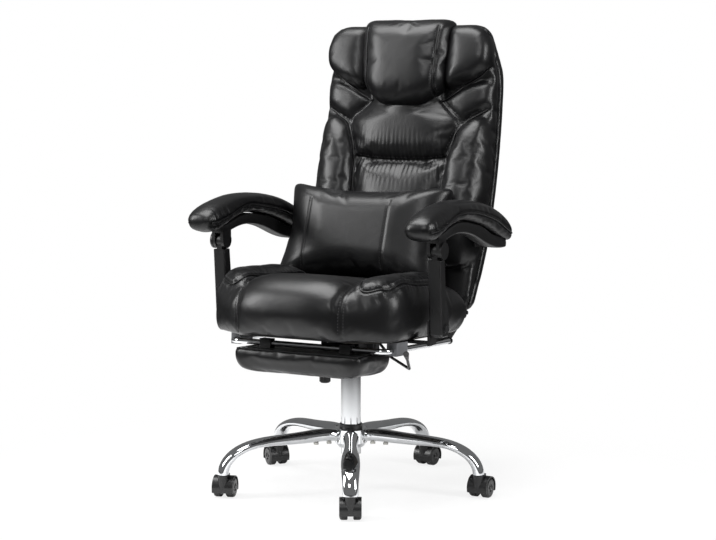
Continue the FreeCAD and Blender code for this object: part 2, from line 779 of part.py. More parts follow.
def make_housing():
    half = s.housing_half_width
    depth = s.housing_front + s.housing_rear
    tall = s.housing_top - s.housing_bottom
    wall = s.housing_wall
    outer = block("housing_outer", (-half, -s.housing_front, s.housing_bottom),
                  (half * 2, depth, tall))
    inner = block(
        "housing_inner", (-half + wall, -s.housing_front + wall, s.housing_bottom + wall),
        (half * 2 - wall * 2, depth - wall * 2, tall),
    )
    boss_radius = s.cylinder_radius + 7
    boss = cylinder("housing_boss", boss_radius, tall - 3, (0, 0, s.housing_bottom))
    ears = []
    for side, sign in sides():
        inner_face = s.lever_radius + s.side_gap
        start = inner_face if sign > 0 else -inner_face - s.lever_ear
        ears.append(block("lever_ear_" + side, (half - wall, start, s.housing_top - 14),
                          (s.lever_pivot_x - half + wall + 6, s.lever_ear, 26)))
    tray = cut("housing_tray", outer, [inner])
    holes = [
        cylinder("housing_socket", s.cylinder_radius + s.running_gap, 80,
                 (0, 0, s.housing_bottom - 20)),
        cylinder("housing_axle_hole", s.tilt_axle_radius + s.running_gap, half * 2 + 20,
                 (-half - 10, s.tilt_axle_y, tilt_axle_level), "x"),
        cylinder("housing_bolt_hole", s.knob_bolt_radius + s.running_gap, 20,
                 (s.knob_x, s.knob_y, s.housing_bottom - 10)),
        cylinder("housing_lever_hole", s.lever_pin_radius + s.running_gap, 40,
                 (s.lever_pivot_x, -20, lever_level), "y"),
    ]
    node(cut("mechanism_housing", fused("housing_body", [tray, boss] + ears), holes))
    ear_outer = half + s.side_gap + s.plate_thickness
    node(cylinder("tilt_axle", s.tilt_axle_radius, ear_outer * 2 + 6,
                  (-ear_outer - 3, s.tilt_axle_y, tilt_axle_level), "x"))


def make_tension_knob():
    knob_top = s.knob_bottom + s.knob_height
    body = turned("tension_knob_grip", [
        (0, s.knob_bottom),
        (s.knob_radius - 3, s.knob_bottom),
        (s.knob_radius, s.knob_bottom + 3),
        (s.knob_radius, knob_top - 5),
        (s.knob_radius - 6, knob_top),
        (s.knob_bolt_radius, knob_top),
        (s.knob_bolt_radius, s.housing_bottom + 14),
        (0, s.housing_bottom + 14),
    ], Placement(point(s.knob_x, s.knob_y, 0), Rotation()))
    flutes = []
    for index in range(8):
        angle = math.radians(index * 45)
        spot = (
            float(s.knob_x) + (float(s.knob_radius) + 2) * math.cos(angle),
            float(s.knob_y) + (float(s.knob_radius) + 2) * math.sin(angle),
            s.knob_bottom - 1,
        )
        flutes.append(cylinder("knob_flute_%d" % index, 4, s.knob_height + 4, spot))
    node(cut("tension_knob", body, flutes))
    coil_bottom = float(knob_top) + 1.8
    coil_height = float(s.housing_bottom) - 1.6 - coil_bottom
    helix = Part.makeHelix(coil_height / 4.5, coil_height, float(s.spring_radius))
    start = helix.Edges[0].valueAt(helix.Edges[0].FirstParameter)
    wire = Part.Circle(start, Vector(0, 1, 0), float(s.spring_wire))
    coil = Part.Wire(helix).makePipeShell([Part.Wire([wire.toShape()])], True, True)
    node(solid("tension_spring", coil, Placement(point(s.knob_x, s.knob_y, coil_bottom), Rotation())))


def make_height_lever():
    height = float(lever_level)
    guide_low = s.rail_drop + s.rail_radius + s.guide_wall
    guide_end = SEAT.multVec(point(s.rail_offset, s.guide_length - s.guide_front, -guide_low))
    bend = guide_end.z - float(s.lever_dip)
    tip = Vector(float(s.lever_tip_x), float(s.lever_tip_y), height + float(s.lever_tip_rise))
    # Out over the valve, down under the footrest guide, and up again to the grip
    route = [
        Vector(-8, 0, height),
        Vector(float(s.lever_pivot_x) + 16, 0, height),
        Vector(float(s.lever_pivot_x) + 54, -8, bend + 10),
        Vector(guide_end.x - 4, -96, bend),
        tip,
    ]
    rod = round_bar(bent_path(route, 16), float(s.lever_radius))
    direction = (route[-1] - route[-2]).normalize()
    grip = Part.makeCone(4.6, 7.2, 34, tip - direction * 26, direction)
    half_pin = float(s.lever_radius + s.side_gap + s.lever_ear)
    pin = Part.makeCylinder(float(s.lever_pin_radius), half_pin * 2,
                            Vector(float(s.lever_pivot_x), -half_pin, height), Vector(0, 1, 0))
    node(solid("height_lever", rod.fuse([grip, pin]).removeSplitter()))


# Seat


def make_seat_plate():
    half = s.plate_half_width
    plate = block("seat_plate_flat", (-half, -110, -s.plate_thickness),
                  (half * 2, 195, s.plate_thickness), SEAT)
    axle = SEAT.inverse().multVec(point(0, s.tilt_axle_y, tilt_axle_level))
    ears = []
    for side, sign in sides():
        inner = float(s.housing_half_width + s.side_gap)
        start = inner if sign > 0 else -inner - float(s.plate_thickness)
        drop = -axle.z + 11
        ears.append(block("seat_ear_" + side, (start, axle.y - 14, -drop),
                          (s.plate_thickness, 28, drop), SEAT))
    body = fused("seat_plate_body", [plate] + ears)
    hole = cylinder("seat_axle_hole", s.tilt_axle_radius + s.running_gap, 160,
                    (-80, s.tilt_axle_y, tilt_axle_level), "x")
    node(cut("seat_plate", body, [hole]))


def seat_outline(front, rear, half):
    """The seat's plan: a broad front, drawn back at the corners, and a square rear."""
    corner = float(s.seat_corner)
    nose = float(s.centre_half_width) - 6
    outline = [(-half, rear), (-half, -corner), (-nose, -front), (nose, -front), (half, -corner), (half, rear)]
    return outline, [45, 60, 70, 70, 60, 45]


def board_outline(growth):
    """The seat board's plan, its front corners cut off, grown evenly by a little."""
    half = s.board_half_width + growth
    front = -s.board_front - growth
    rear = s.board_rear + growth
    cut_off = s.board_corner
    return [(-half, rear), (-half, front + cut_off), (-half + cut_off, front),
            (half - cut_off, front), (half, front + cut_off), (half, rear)]


def make_seat_cushion():
    front = float(s.seat_front)
    rear = float(s.seat_rear)
    half = float(s.seat_half_width)
    top = float(s.seat_base_height)
    layers = [
        (2, front - 24, rear - 58, half - 12),
        (22, front - 3, rear - 14, half - 1),
        (58, front, rear, half),
        (92, front - 6, rear - 34, half),
        (112, front - 22, rear - 78, half - 6),
        (top, front - 44, rear - 120, half - 22),
    ]
    wires = []
    for height, ahead, behind, wide in layers:
        corners, radii = seat_outline(ahead, behind, wide)
        wires.append(rounded_outline(corners, radii, height))
    shape = Part.makeLoft(wires, True, False)
    rim = [point(x, y, 0) for x, y in board_outline(s.soft_gap)]
    recess = Part.Face(Part.makePolygon(rim + rim[:1]))
    return shape.cut(recess.extrude(Vector(0, 0, float(s.board_thickness))))


def centre_section(x, depth):
    """The centre panel's side section: over the top, round the front and down."""
    front = float(s.seat_front)
    top = float(s.seat_base_height)
    rear_low = Vector(x, 96, top - 26)
    top_low = Vector(x, -front + 92, top - 14)
    roll_low = Vector(x, -front + 44, top - 34)
    front_low = Vector(x, -front + 30, top - 70)
    foot_low = Vector(x, -front + 34, 16)
    foot = Vector(x, -front + 22 - depth * 0.5, 6)
    front_high = Vector(x, -front + 24 - depth, top - 66)
    roll_high = Vector(x, -front + 42 - depth, top - 22 + depth * 0.5)
    top_high = Vector(x, -front + 92, top - 12 + depth)
    rear_high = Vector(x, 96, top - 24 + depth * 0.55)
    edges = [
        Part.LineSegment(rear_low, top_low),
        Part.Arc(top_low, roll_low, front_low),
        Part.LineSegment(front_low, foot_low),
        Part.LineSegment(foot_low, foot),
        Part.LineSegment(foot, front_high),
        Part.Arc(front_high, roll_high, top_high),
        Part.LineSegment(top_high, rear_high),
        Part.LineSegment(rear_high, rear_low),
    ]
    return Part.Wire([edge.toShape() for edge in edges])


def make_seat_top(base):
    half = float(s.centre_half_width)
    depth = float(s.centre_thickness)
    wires = []
    for part in (-1, -0.93, -0.8, -0.6, -0.3, 0, 0.3, 0.6, 0.8, 0.93, 1):
        crown = 0.3 + 0.7 * math.sqrt(1 - abs(part) ** 3)
        wires.append(centre_section(half * part, depth * crown))
    centre = Part.makeLoft(wires, True, False).cut(base)
    node(solid("seat_centre_panel", centre, SEAT))

    front = float(s.seat_front)
    corner = float(s.seat_corner)
    side = float(s.seat_half_width) - 3
    inner = half + 4
    outline = [(inner, 60), (inner, -front + 34), (side - 32, -corner - 22), (side, -corner + 34), (side, 40)]
    low = float(s.seat_base_height) - 14
    layers = crowned(float(s.bolster_rise) - low, 0.5, low)
    left = cushion(outline, [18, 24, 40, 60, 30], layers).cut(base)
    node(solid("seat_bolster_left", left, SEAT))
    node(solid("seat_bolster_right", mirrored(left), SEAT))


def make_seat():
    node(flat_plate("seat_board", board_outline(0), s.board_thickness, SEAT))
    base = make_seat_cushion()
    node(solid("seat_cushion", base, SEAT))
    make_seat_top(base)


# Brackets that carry the footrest, the arm posts and the back


def make_footrest_guides():
    guides = []
    low = s.rail_drop + s.rail_radius + s.guide_wall
    for side, sign in sides():
        middle = s.rail_offset * sign
        body = block("guide_block_" + side, (middle - s.guide_half_width, -s.guide_front, -low),
                     (s.guide_half_width * 2, s.guide_length, low), SEAT)
        bore = cylinder("guide_bore_" + side, s.rail_radius + s.running_gap, s.guide_length + 20,
                        (middle, -s.guide_front - 10, -s.rail_drop), "y", SEAT)
        guides.append(cut("guide_" + side, body, [bore]))
    node(together("footrest_guides", guides))


def make_arm_brackets():
    """Steel angles under the board that carry the arm posts' lower pivots."""
    brackets = []
    thick = s.bracket_thickness
    outer = s.arm_offset - s.post_width / 2 - s.side_gap
    half = s.bracket_width / 2
    foot = s.seat_height - 2
    for side, sign in sides():
        reach = outer - s.bracket_inner
        start = s.bracket_inner if sign > 0 else -outer
        flange = block("bracket_flange_" + side, (start, s.post_pivot_y - half, -thick),
                       (reach, s.bracket_width, thick), SEAT)
        start = outer - thick if sign > 0 else -outer
        upright = block("bracket_upright_" + side, (start, s.post_pivot_y - half, foot),
                        (thick, s.bracket_width, s.post_pivot_height + half - foot))
        length = s.post_width + s.side_gap * 2 + thick
        start = outer - thick if sign > 0 else thick - outer - length
        shank = cylinder("bracket_bolt_" + side, s.pivot_radius, length,
                         (start, s.post_pivot_y, s.post_pivot_height), "x")
        high = s.bolt_head_height
        start = s.arm_offset + s.post_width / 2 + s.side_gap / 2
        head = cylinder("bracket_head_" + side, s.pivot_radius + 4, high,
                        (start if sign > 0 else -start - high, s.post_pivot_y, s.post_pivot_height), "x")
        brackets.append(fused("arm_bracket_" + side, [upright, flange, shank, head]))
    return brackets


def hinge():
    return point(0, s.hinge_y, s.hinge_height)


def hinge_slots():
    """Room in the back for the hinge's knuckles and the plates beside them."""
    shapes = []
    centre = hinge()
    half = float(s.hinge_plate) * 2 + 3
    for _, sign in sides():
        start = sign * float(s.hinge_offset) - half
        shapes.append(Part.makeCylinder(
            float(s.hinge_radius) + 3, half * 2, Vector(start, centre.y, centre.z), Vector(1, 0, 0)
        ))
    return shapes


def seat_arm_outline():
    """The seat's hinge plate: from under the board back to the hinge."""
    centre = hinge()
    under = SEAT.multVec(point(0, 30, 0))
    rear = SEAT.multVec(point(0, float(s.board_rear), 0))
    return [
        (under.y, under.z - 0.2),
        (rear.y, rear.z - 0.2),
        (centre.y - 8, centre.z + 3),
        (centre.y + 6, centre.z - 10),
        (rear.y + 10, rear.z - 24),
        (under.y, under.z - 16),
    ]


def make_recline_brackets():
    brackets = []
    centre = hinge()
    thick = s.hinge_plate
    for side, sign in sides():
        x = s.hinge_offset * sign
        plate = side_plate("recline_plate_" + side, seat_arm_outline(), thick, x)
        knuckle = cylinder("recline_knuckle_" + side, s.hinge_radius, thick,
                           (x - thick / 2, centre.y, centre.z), "x")
        reach = thick * 1.5 + 2
        pin = cylinder("recline_pin_" + side, s.hinge_pin_radius, reach * 2,
                       (x - reach, centre.y, centre.z), "x")
        brackets.append(fused("recline_bracket_" + side, [plate, knuckle, pin]))
    return brackets


def make_recline_lever():
    """The handle by the sitter's right hand that frees the back."""
    pivot = SEAT.multVec(point(0, 158, -6))
    start = -float(s.hinge_offset) - float(s.hinge_plate) / 2 - float(s.side_gap)
    rod = Part.makeCylinder(4, 44, Vector(start - 44, pivot.y, pivot.z), Vector(1, 0, 0))
    tip = -float(s.seat_half_width) - 14
    grip = Part.makeBox(9, 78, 8, Vector(tip, pivot.y - 70, pivot.z - 4))
    grip = grip.makeFillet(2.5, grip.Edges)
    link_rod = Part.makeCylinder(4, start - 40 - tip, Vector(tip, pivot.y, pivot.z), Vector(1, 0, 0))
    node(solid("recline_lever", rod.fuse(link_rod).fuse(grip).removeSplitter()))


# Footrest


def make_footrest():
    side = float(s.rail_offset)
    drop = -float(s.rail_drop)
    front = -float(s.rail_front)
    rear = float(s.rail_rear)
    points = [Vector(side, rear, drop), Vector(side, front, drop), Vector(-side, front, drop),
              Vector(-side, rear, drop)]
    path = bent_path(points, float(s.rail_bend))
    tube = round_bar(path, float(s.rail_radius))
    tube = tube.cut(round_bar(path, float(s.rail_radius - s.rail_wall)))
    node(solid("footrest_frame", tube, SEAT))

    caps = []
    for name, sign in sides():
        place = (s.rail_offset * sign, s.rail_rear, -s.rail_drop)
        head = cylinder("cap_head_" + name, s.rail_radius + 1.5, s.cap_length, place, "y", SEAT)
        plug_start = (s.rail_offset * sign, s.rail_rear - 12, -s.rail_drop)
        plug = cylinder("cap_plug_" + name, s.rail_radius - s.rail_wall - s.running_gap, 14,
                        plug_start, "y", SEAT)
        caps.append(fused("rail_cap_" + name, [head, plug]))
    node(together("rail_caps", caps))

    thick = s.footplate_thickness
    half = s.footpad_half_width - 8
    plate = block(
        "footplate_flat", (-half, -s.footpad_front + 10, -s.footplate_drop - thick),
        (half * 2, s.footpad_front - s.footpad_rear - 16, thick), SEAT,
    )
    pieces = [plate]
    clip_low = s.footplate_drop - s.rail_drop + 2
    for name, sign in sides():
        pieces.append(block(
            "bar_clip_" + name,
            (s.clip_offset * sign - s.clip_width / 2, -s.rail_front - 11, -s.rail_drop - clip_low),
            (s.clip_width, 22, clip_low + 11), SEAT,
        ))
    bore = cylinder("clip_bore", s.rail_radius + s.running_gap, 400,
                    (-200, -s.rail_front, -s.rail_drop), "x", SEAT)
    node(cut("footrest_plate", fused("footplate_body", pieces), [bore]))

    wide = float(s.footpad_half_width)
    ahead = -float(s.footpad_front)
    behind = -float(s.footpad_rear)
    outline = [(-wide, behind), (-wide, ahead), (wide, ahead), (wide, behind)]
    deep = float(s.footpad_bottom)
    rim = float(s.footpad_rim)
    layers = [(-rim, 0.985), (-rim - 12, 1.0), (-rim - 30, 0.99), (-deep + 9, 0.95), (-deep, 0.84)]
    pad = cushion(outline, [26, 22, 22, 26], list(reversed(layers)))
    gap = float(s.soft_gap)
    recess = Part.makeBox(
        float(half) * 2 + gap * 2,
        float(s.footpad_front - s.footpad_rear) - 16 + gap * 2,
        40,
        Vector(-float(half) - gap, ahead + 10 - gap, -float(s.footplate_drop + thick) - gap),
    )
    node(solid("footrest_pad", pad.cut(recess), SEAT))


# Arms


def post_top():
    return s.post_pivot_y + s.post_lean, s.post_pivot_height + s.post_length


def make_post(side, sign):
    low_y = s.post_pivot_y
    low_z = s.post_pivot_height
    top_y, top_z = post_top()
    middle = s.arm_offset * sign
    corners = [
        (low_y - 21, low_z - 12),
        (low_y - 14, low_z - 20),
        (low_y + 14, low_z - 20),
        (low_y + 22, low_z - 8),
        (low_y + 20, low_z + 34),
        (low_y + 3, low_z + 92),
        (top_y + 13, top_z - 22),
        (top_y - 15, top_z - 22),
    ]
    post = side_plate("post_body_" + side, corners, s.post_width, middle, 4.0)
    tongue = cylinder("post_tongue_" + side, s.tongue_radius, s.tongue_width,
                      (middle - s.tongue_width / 2, top_y, top_z), "x")
    neck = block("post_neck_" + side, (middle - s.tongue_width / 2, top_y - 12, top_z - 26),
                 (s.tongue_width, 24, 26))
    holes = []
    for name, (y, z) in (("low", (low_y, low_z)), ("top", (top_y, top_z))):
        holes.append(cylinder("post_hole_%s_%s" % (name, side), s.pivot_radius + s.running_gap, 80,
                              (middle - 40, y, z), "x"))
    body = fused("post_whole_" + side, [post, tongue, neck])
    node(cut("arm_post_" + side, body, holes))


def arm_bar_stations():
    """Place along Y, lower face and upper face of the arm bar, front to rear."""
    top_y, top_z = float(post_top()[0]), float(post_top()[1])
    return [
        (top_y - 22, top_z + 19, top_z + 40),
        (top_y + 18, top_z + 23, top_z + 45),
        (-66, 664, 689),
        (-4, 664, 692),
        (55, 652, 683),
        (126, 628, 664),
        (178, 615, 646),
        (222, 610, 638),
        (246, 610, 630),
    ]


def make_arm(side, sign):
    middle = float(s.arm_offset) * sign
    top_y, top_z = post_top()
    half = float(s.arm_bar_width) / 2
    wires = []
    for y, low, high in arm_bar_stations():
        tall = (high - low) / 2
        wires.append(ring_section((middle, low + tall), half, tall, 0.4, 5.0, y))
    bar = Part.makeLoft(wires, True, False)
    for cheek in (1, -1):
        wide = half - float(s.tongue_width) / 2 - float(s.side_gap)
        near = float(s.tongue_width) / 2 + float(s.side_gap)
        start = middle + near if cheek > 0 else middle - near - wide
        centre = Vector(start, float(top_y), float(top_z))
        disc = Part.makeCylinder(float(s.knuckle_radius), wide, centre, Vector(1, 0, 0))
        strap = Part.makeBox(wide, 38, 30, Vector(start, float(top_y) - 20, float(top_z)))
        bar = bar.fuse([disc, strap])
    outward = 1 if sign > 0 else -1
    cap_at = middle + outward * half
    cap_high = float(s.pivot_cap_height)
    cap = Part.makeCylinder(float(s.pivot_cap_radius), cap_high,
                            Vector(cap_at, float(top_y), float(top_z)), Vector(outward, 0, 0))
    pin = Part.makeCylinder(float(s.pivot_radius), half * 2,
                            Vector(cap_at, float(top_y), float(top_z)), Vector(-outward, 0, 0))
    bar = bar.fuse([cap, pin])
    rear = arm_rear_pivot()
    hole = Part.makeCylinder(float(s.arm_pin_radius + s.arm_pin_play), 80,
                             Vector(middle - 40, rear.y, rear.z), Vector(1, 0, 0))
    bar = bar.cut(hole).removeSplitter()
    node(solid("arm_bar_" + side, bar))
    pad_stations = [
        (-240, 690, 9, 20, 2),
        (-232, 689, 20, 33, 3),
        (-205, 691, 32, 41, 4),
        (-160, 700, 34, 43, 5),
        (-110, 711, 30, 43, 6),
        (-50, 718, 24, 43, 6),
        (20, 714, 24, 43, 6),
        (95, 701, 27, 43, 6),
        (160, 683, 30, 42, 6),
        (215, 662, 30, 40, 5),
        (246, 648, 25, 35, 4),
        (260, 642, 14, 24, 2),
    ]
    wide = float(s.arm_pad_half_width)
    wires = []
    for y, height, tall, width, crown in pad_stations:
        corner = min(tall, width) * 0.55
        wires.append(ring_section((middle, height), width / 43 * wide - crown, tall - crown, crown, corner, y))
    pad = Part.makeLoft(wires, True, False).cut(bar)
    solids = sorted(pad.Solids, key=lambda piece: piece.Volume)
    node(solid("arm_pad_" + side, solids[-1]))


def arm_rear_pivot():
    """Where the arm meets the back: the fourth corner of the linkage."""
    return hinge() + point(0, s.post_lean, s.post_length)


# Back


def arc_through(low, mid, high, x=0):
    return Part.Arc(*[Vector(x, y, z) for y, z in (low, mid, high)])


def back_profile(front, rear):
    """A band of the back's side section between two arcs, each (low, mid, high) in Y."""
    low = float(s.back_bottom)
    high = float(s.back_top)
    mid = (low + high) / 2
    near = arc_through((front[0], low), (front[1], mid), (front[2], high)).toShape()
    far = arc_through((rear[0], low), (rear[1], mid), (rear[2], high)).toShape()
    top = Part.LineSegment(near.Vertexes[-1].Point, far.Vertexes[-1].Point).toShape()
    bottom = Part.LineSegment(near.Vertexes[0].Point, far.Vertexes[0].Point).toShape()
    return Part.Face(Part.Wire([near, top, far, bottom]))


def back_front(inset=0.0):
    return [float(v) + inset for v in (s.back_front_low, s.back_front_mid, s.back_front_high)]


def back_rear(inset=0.0):
    return [float(v) - inset for v in (s.back_rear_low, s.back_rear_mid, s.back_rear_high)]


def front_outline(inset):
    """The back seen from the front, drawn in evenly by the inset."""
    wide = float(s.back_half_width) - inset
    low = float(s.back_bottom) + inset
    high = float(s.back_top) - inset
    corners = [(-wide + 12, low), (wide - 12, low), (wide, low + 190), (wide, high - 130), (wide - 42, high),
               (-wide + 42, high), (-wide, high - 130), (-wide, low + 190)]
    face = Part.Face(rounded_outline(corners, [34, 34, 400, 160, 48, 48, 160, 400], 0))
    face.Placement = Placement(Vector(0, 600, 0), Rotation(Vector(1, 0, 0), 90))
    return face.extrude(Vector(0, -600, 0))


def back_band(front, rear, inset):
    half = float(s.back_half_width) + 20
    face = back_profile(front, rear)
    band = face.extrude(Vector(half * 2, 0, 0))
    band.translate(Vector(-half, 0, 0))
    return band.common(front_outline(inset))


def round_rear_rim(shape, radius):
    """Round the cover's outer rim, at its rear face."""
    rims = []
    rear = back_rear()
    for edge in shape.Edges:
        spot = edge.valueAt((edge.FirstParameter + edge.LastParameter) / 2)
        part = (spot.z - float(s.back_bottom)) / float(s.back_top - s.back_bottom)
        line = rear[0] + (rear[2] - rear[0]) * part + 4 * (rear[1] - (rear[0] + rear[2]) / 2) * part * (1 - part)
        if abs(spot.y - line) < 4:
            rims.append(edge)
    return shape.makeFillet(radius, rims)


def hinge_leaf_outline():
    """The back's hinge plate: from the hinge up into the back."""
    centre = hinge()
    return [(centre.y - 10, centre.z + 6), (centre.y + 11, centre.z + 4), (centre.y + 42, centre.z + 120),
            (centre.y + 20, centre.z + 124)]


def make_back_irons():
    """The back's hinge leaves and the plates and pins that carry the arms' rear ends."""
    irons = []
    centre = hinge()
    rear = arm_rear_pivot()
    thick = s.hinge_plate
    for side, sign in sides():
        x = (s.hinge_offset - thick - s.side_gap) * sign
        leaf = side_plate("hinge_leaf_body_" + side, hinge_leaf_outline(), thick, x)
        knuckle = cylinder("hinge_leaf_knuckle_" + side, s.hinge_radius, thick,
                           (x - thick / 2, centre.y, centre.z), "x")
        bore = cylinder("hinge_leaf_bore_" + side, s.hinge_pin_radius + s.running_gap, 40,
                        (x - 20, centre.y, centre.z), "x")
        irons.append(cut("hinge_leaf_" + side, fused("hinge_leaf_whole_" + side, [leaf, knuckle]), [bore]))
        plate_thick = 4.0
        inner = float(s.back_half_width) + 0.3
        corners = [(rear.y - 12, rear.z - 14), (rear.y + 64, rear.z - 20), (rear.y + 76, rear.z + 20),
                   (rear.y - 12, rear.z + 14)]
        plate = side_plate("arm_plate_" + side, corners, plate_thick, sign * (inner + plate_thick / 2))
        length = float(s.arm_offset + s.arm_bar_width / 2) - inner
        pin = cylinder("arm_pin_" + side, s.arm_pin_radius, length,
                       (inner if sign > 0 else -inner - length, rear.y, rear.z), "x")
        irons.append(fused("arm_iron_" + side, [plate, pin]))
    node(together("back_irons", irons))


def leaf_rooms():
    shapes = []
    for _, sign in sides():
        x = sign * float(s.hinge_offset - s.hinge_plate - s.side_gap)
        half = float(s.hinge_plate) / 2 + 0.2
        corners = [Vector(x - half, y, z) for y, z in hinge_leaf_outline()]
        face = Part.Face(Part.makePolygon(corners + corners[:1]))
        shapes.append(face.extrude(Vector(half * 2, 0, 0)))
    return shapes


def make_back():
    depth = float(s.cover_depth)
    thick = float(s.back_board_thickness)
    gap = float(s.soft_gap)
    rooms = hinge_slots() + leaf_rooms()
    cover = round_rear_rim(back_band(back_rear(depth), back_rear(), 0), 14)
    board = back_band(back_rear(depth), back_rear(depth - thick), 22)
    recess = back_band(back_rear(depth + 2), back_rear(depth - thick - gap), 22 - gap)
    foam = back_band(back_front(), back_rear(depth + gap), 1.5)
    node(solid("back_rear_cover", cover.cut([recess] + rooms)))
    node(solid("back_board", board.cut(rooms)))
    foam = foam.cut(rooms)
    node(solid("back_foam", foam))
    return foam


def placed(shape, frame):
    result = shape.copy()
    result.Placement = frame
    return result


def lift_of(frame_height, lean, height):
    """Distance up a leaning plane for a height in the room."""
    return (height - float(frame_height)) / math.cos(math.radians(float(lean)))


def up(height):
    return lift_of(s.seam_height, s.upper_lean, height)


def low_up(height):
    return lift_of(s.bolster_height, s.lower_lean, height)


def make_back_pads(foam):
    """The panels on the back's front, each cut to the foam behind it."""
    seam = float(s.seam_height)
    seam_half = 130.0
    waist = 159.0
    centre_outline = [(-seam_half, up(seam)), (-60, up(seam - 9)), (60, up(seam - 9)), (seam_half, up(seam)),
                      (waist, up(924)), (98, up(976)), (92, up(1040)), (-92, up(1040)), (-98, up(976)),
                      (-waist, up(924))]
    centre_radii = [6, 60, 60, 6, 14, 40, 12, 12, 40, 14]
    centre = cushion(centre_outline, centre_radii, crowned(float(s.centre_pad_depth)))
    centre = placed(centre, UPPER_BACK).cut(foam)
    node(solid("back_centre_upper", largest(centre)))

    lower_outline = [(-116, low_up(560)), (116, low_up(560)), (128, low_up(seam - 8)), (60, low_up(seam - 18)),
                     (-60, low_up(seam - 18)), (-128, low_up(seam - 8))]
    lower = cushion(lower_outline, [20, 20, 6, 60, 60, 6], crowned(float(s.lower_pad_depth)))
    lower = placed(lower, LOWER_BACK).cut(foam)
    lower = lower.cut(centre)
    node(solid("back_centre_lower", largest(lower)))

    bolster_outline = [(126, low_up(545)), (232, low_up(560)), (240, low_up(700)), (240, low_up(845)),
                       (232, low_up(952)), (164, low_up(912)), (137, low_up(830)), (131, low_up(730))]
    bolster = cushion(bolster_outline, [30, 40, 200, 160, 22, 20, 60, 200],
                      crowned(float(s.back_bolster_depth)))
    bolster = placed(bolster, LOWER_BACK).cut(foam)
    bolster = largest(bolster.cut([centre, lower]))
    node(solid("back_bolster_left", bolster))
    node(solid("back_bolster_right", mirrored(bolster)))

    shoulder_outline = [(104, up(982)), (164, up(931)), (234, up(972)), (236, up(1030)), (150, up(1008))]
    shoulder = cushion(shoulder_outline, [5, 8, 8, 10, 12], crowned(float(s.shoulder_depth)))
    shoulder = placed(shoulder, UPPER_BACK).cut(foam)
    shoulder = shoulder.cut([centre, bolster])

    wing_outline = [(112, up(1000)), (192, up(1028)), (236, up(1062)), (241, up(1112)), (222, up(1160)),
                    (186, up(1174)), (116, up(1172))]
    wing = cushion(wing_outline, [10, 60, 40, 50, 26, 20, 12], crowned(float(s.wing_depth)))
    wing = largest(placed(wing, UPPER_BACK).cut(foam))
    wing = largest(wing.cut(centre))
    shoulder = largest(shoulder.cut(wing))
    node(together("shoulder_panels", [
        solid("shoulder_panel_left", shoulder), solid("shoulder_panel_right", mirrored(shoulder)),
    ]))
    node(solid("head_wing_left", wing))
    node(solid("head_wing_right", mirrored(wing)))

    half = float(s.head_pillow_half_width)
    pillow_outline = [(-half + 26, up(972)), (half - 26, up(972)), (half - 6, up(1010)), (half, up(1100)),
                      (half - 4, up(1186)), (-half + 4, up(1186)), (-half, up(1100)), (-half + 6, up(1010))]
    pillow = cushion(pillow_outline, [40, 40, 40, 200, 22, 22, 200, 40],
                     crowned(float(s.head_pillow_depth)))
    pillow = placed(pillow, UPPER_BACK).cut(foam)
    pillow = largest(pillow.cut([centre, wing, mirrored(wing), shoulder, mirrored(shoulder)]))
    node(solid("head_pillow", pillow))
    return [foam, centre, lower, bolster, mirrored(bolster)]


def largest(shape):
    """The main solid of a cut shape, without any sliver beside it."""
    return sorted(shape.Solids, key=lambda piece: piece.Volume)[-1]


def make_lumbar_pillow(behind):
    deep = float(s.lumbar_depth) / 2
    layers = [(-1, 0.5), (-0.86, 0.74), (-0.45, 0.93), (0, 1.0), (0.45, 0.93), (0.86, 0.74), (1, 0.5)]
    wires = [pillow_outline(deep * height, scale) for height, scale in layers]
    pillow = Part.makeLoft(wires, True, False)
    middle = point(s.lumbar_x, s.lumbar_y, s.lumbar_z)
    frame = Placement(middle, Rotation(Vector(1, 0, 0), 90 - float(s.lumbar_lean)))
    pillow = placed(pillow, frame).cut(behind)
    node(solid("lumbar_pillow", largest(pillow)))


def pillow_outline(height, scale):
    """A four-sided pillow outline whose sides bow in and whose corners stand out."""
    half = float(s.lumbar_half_width) * scale
    tall = float(s.lumbar_half_height) * scale
    bow = float(s.lumbar_side_bow) * (2 - scale)
    nose = float(s.lumbar_corner) * scale
    corners = [Vector(-half, -tall, height), Vector(half, -tall, height),
               Vector(half, tall, height), Vector(-half, tall, height)]
    edges = []
    for index, corner in enumerate(corners):
        following = corners[(index + 1) % 4]
        after = corners[(index + 2) % 4]
        along = (following - corner).normalize()
        inward = Vector(-along.y, along.x, 0)
        start = corner + along * nose
        end = following - along * nose
        edges.append(Part.Arc(start, (start + end) * 0.5 + inward * bow, end))
        turn_end = following + (after - following).normalize() * nose
        turn_middle = following * 0.6 + (end + turn_end) * 0.2
        edges.append(Part.Arc(end, turn_middle, turn_end))
    return Part.Wire([edge.toShape() for edge in edges])


# Build, check and write


def check_document():
    for item in doc.Objects:
        for state in item.State:
            if state in ("Invalid", "Error"):
                raise RuntimeError("%s failed: %s" % (item.Name, item.State))
    for item in nodes:
        if item.Shape.isNull() or not item.Shape.isValid() or not item.Shape.Solids:
            raise RuntimeError("%s has no valid solid" % item.Label)


def write_parts():
    os.makedirs("parts", exist_ok=True)
    for item in nodes:
        item.Shape.exportStep("parts/%s.step" % item.Label)
    print("wrote", len(nodes), "parts")


make_base()
make_column()
for number in range(LEG_COUNT):
    make_caster(number)
make_housing()
make_tension_knob()
make_height_lever()
make_seat_plate()
make_seat()
make_footrest_guides()
node(together("seat_brackets", make_arm_brackets() + make_recline_brackets()))
make_recline_lever()
make_footrest()
for side_name, side_sign in sides():
    make_post(side_name, side_sign)
    make_arm(side_name, side_sign)
make_back_irons()
back_foam = make_back()
pads_behind = make_back_pads(back_foam)
make_lumbar_pillow(pads_behind)
doc.recompute()
check_document()
write_parts()
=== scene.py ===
import json
import math

import bmesh
import bpy
import numpy as np
from mathutils import Matrix, Vector
from mathutils.bvhtree import BVHTree
from mathutils.kdtree import KDTree


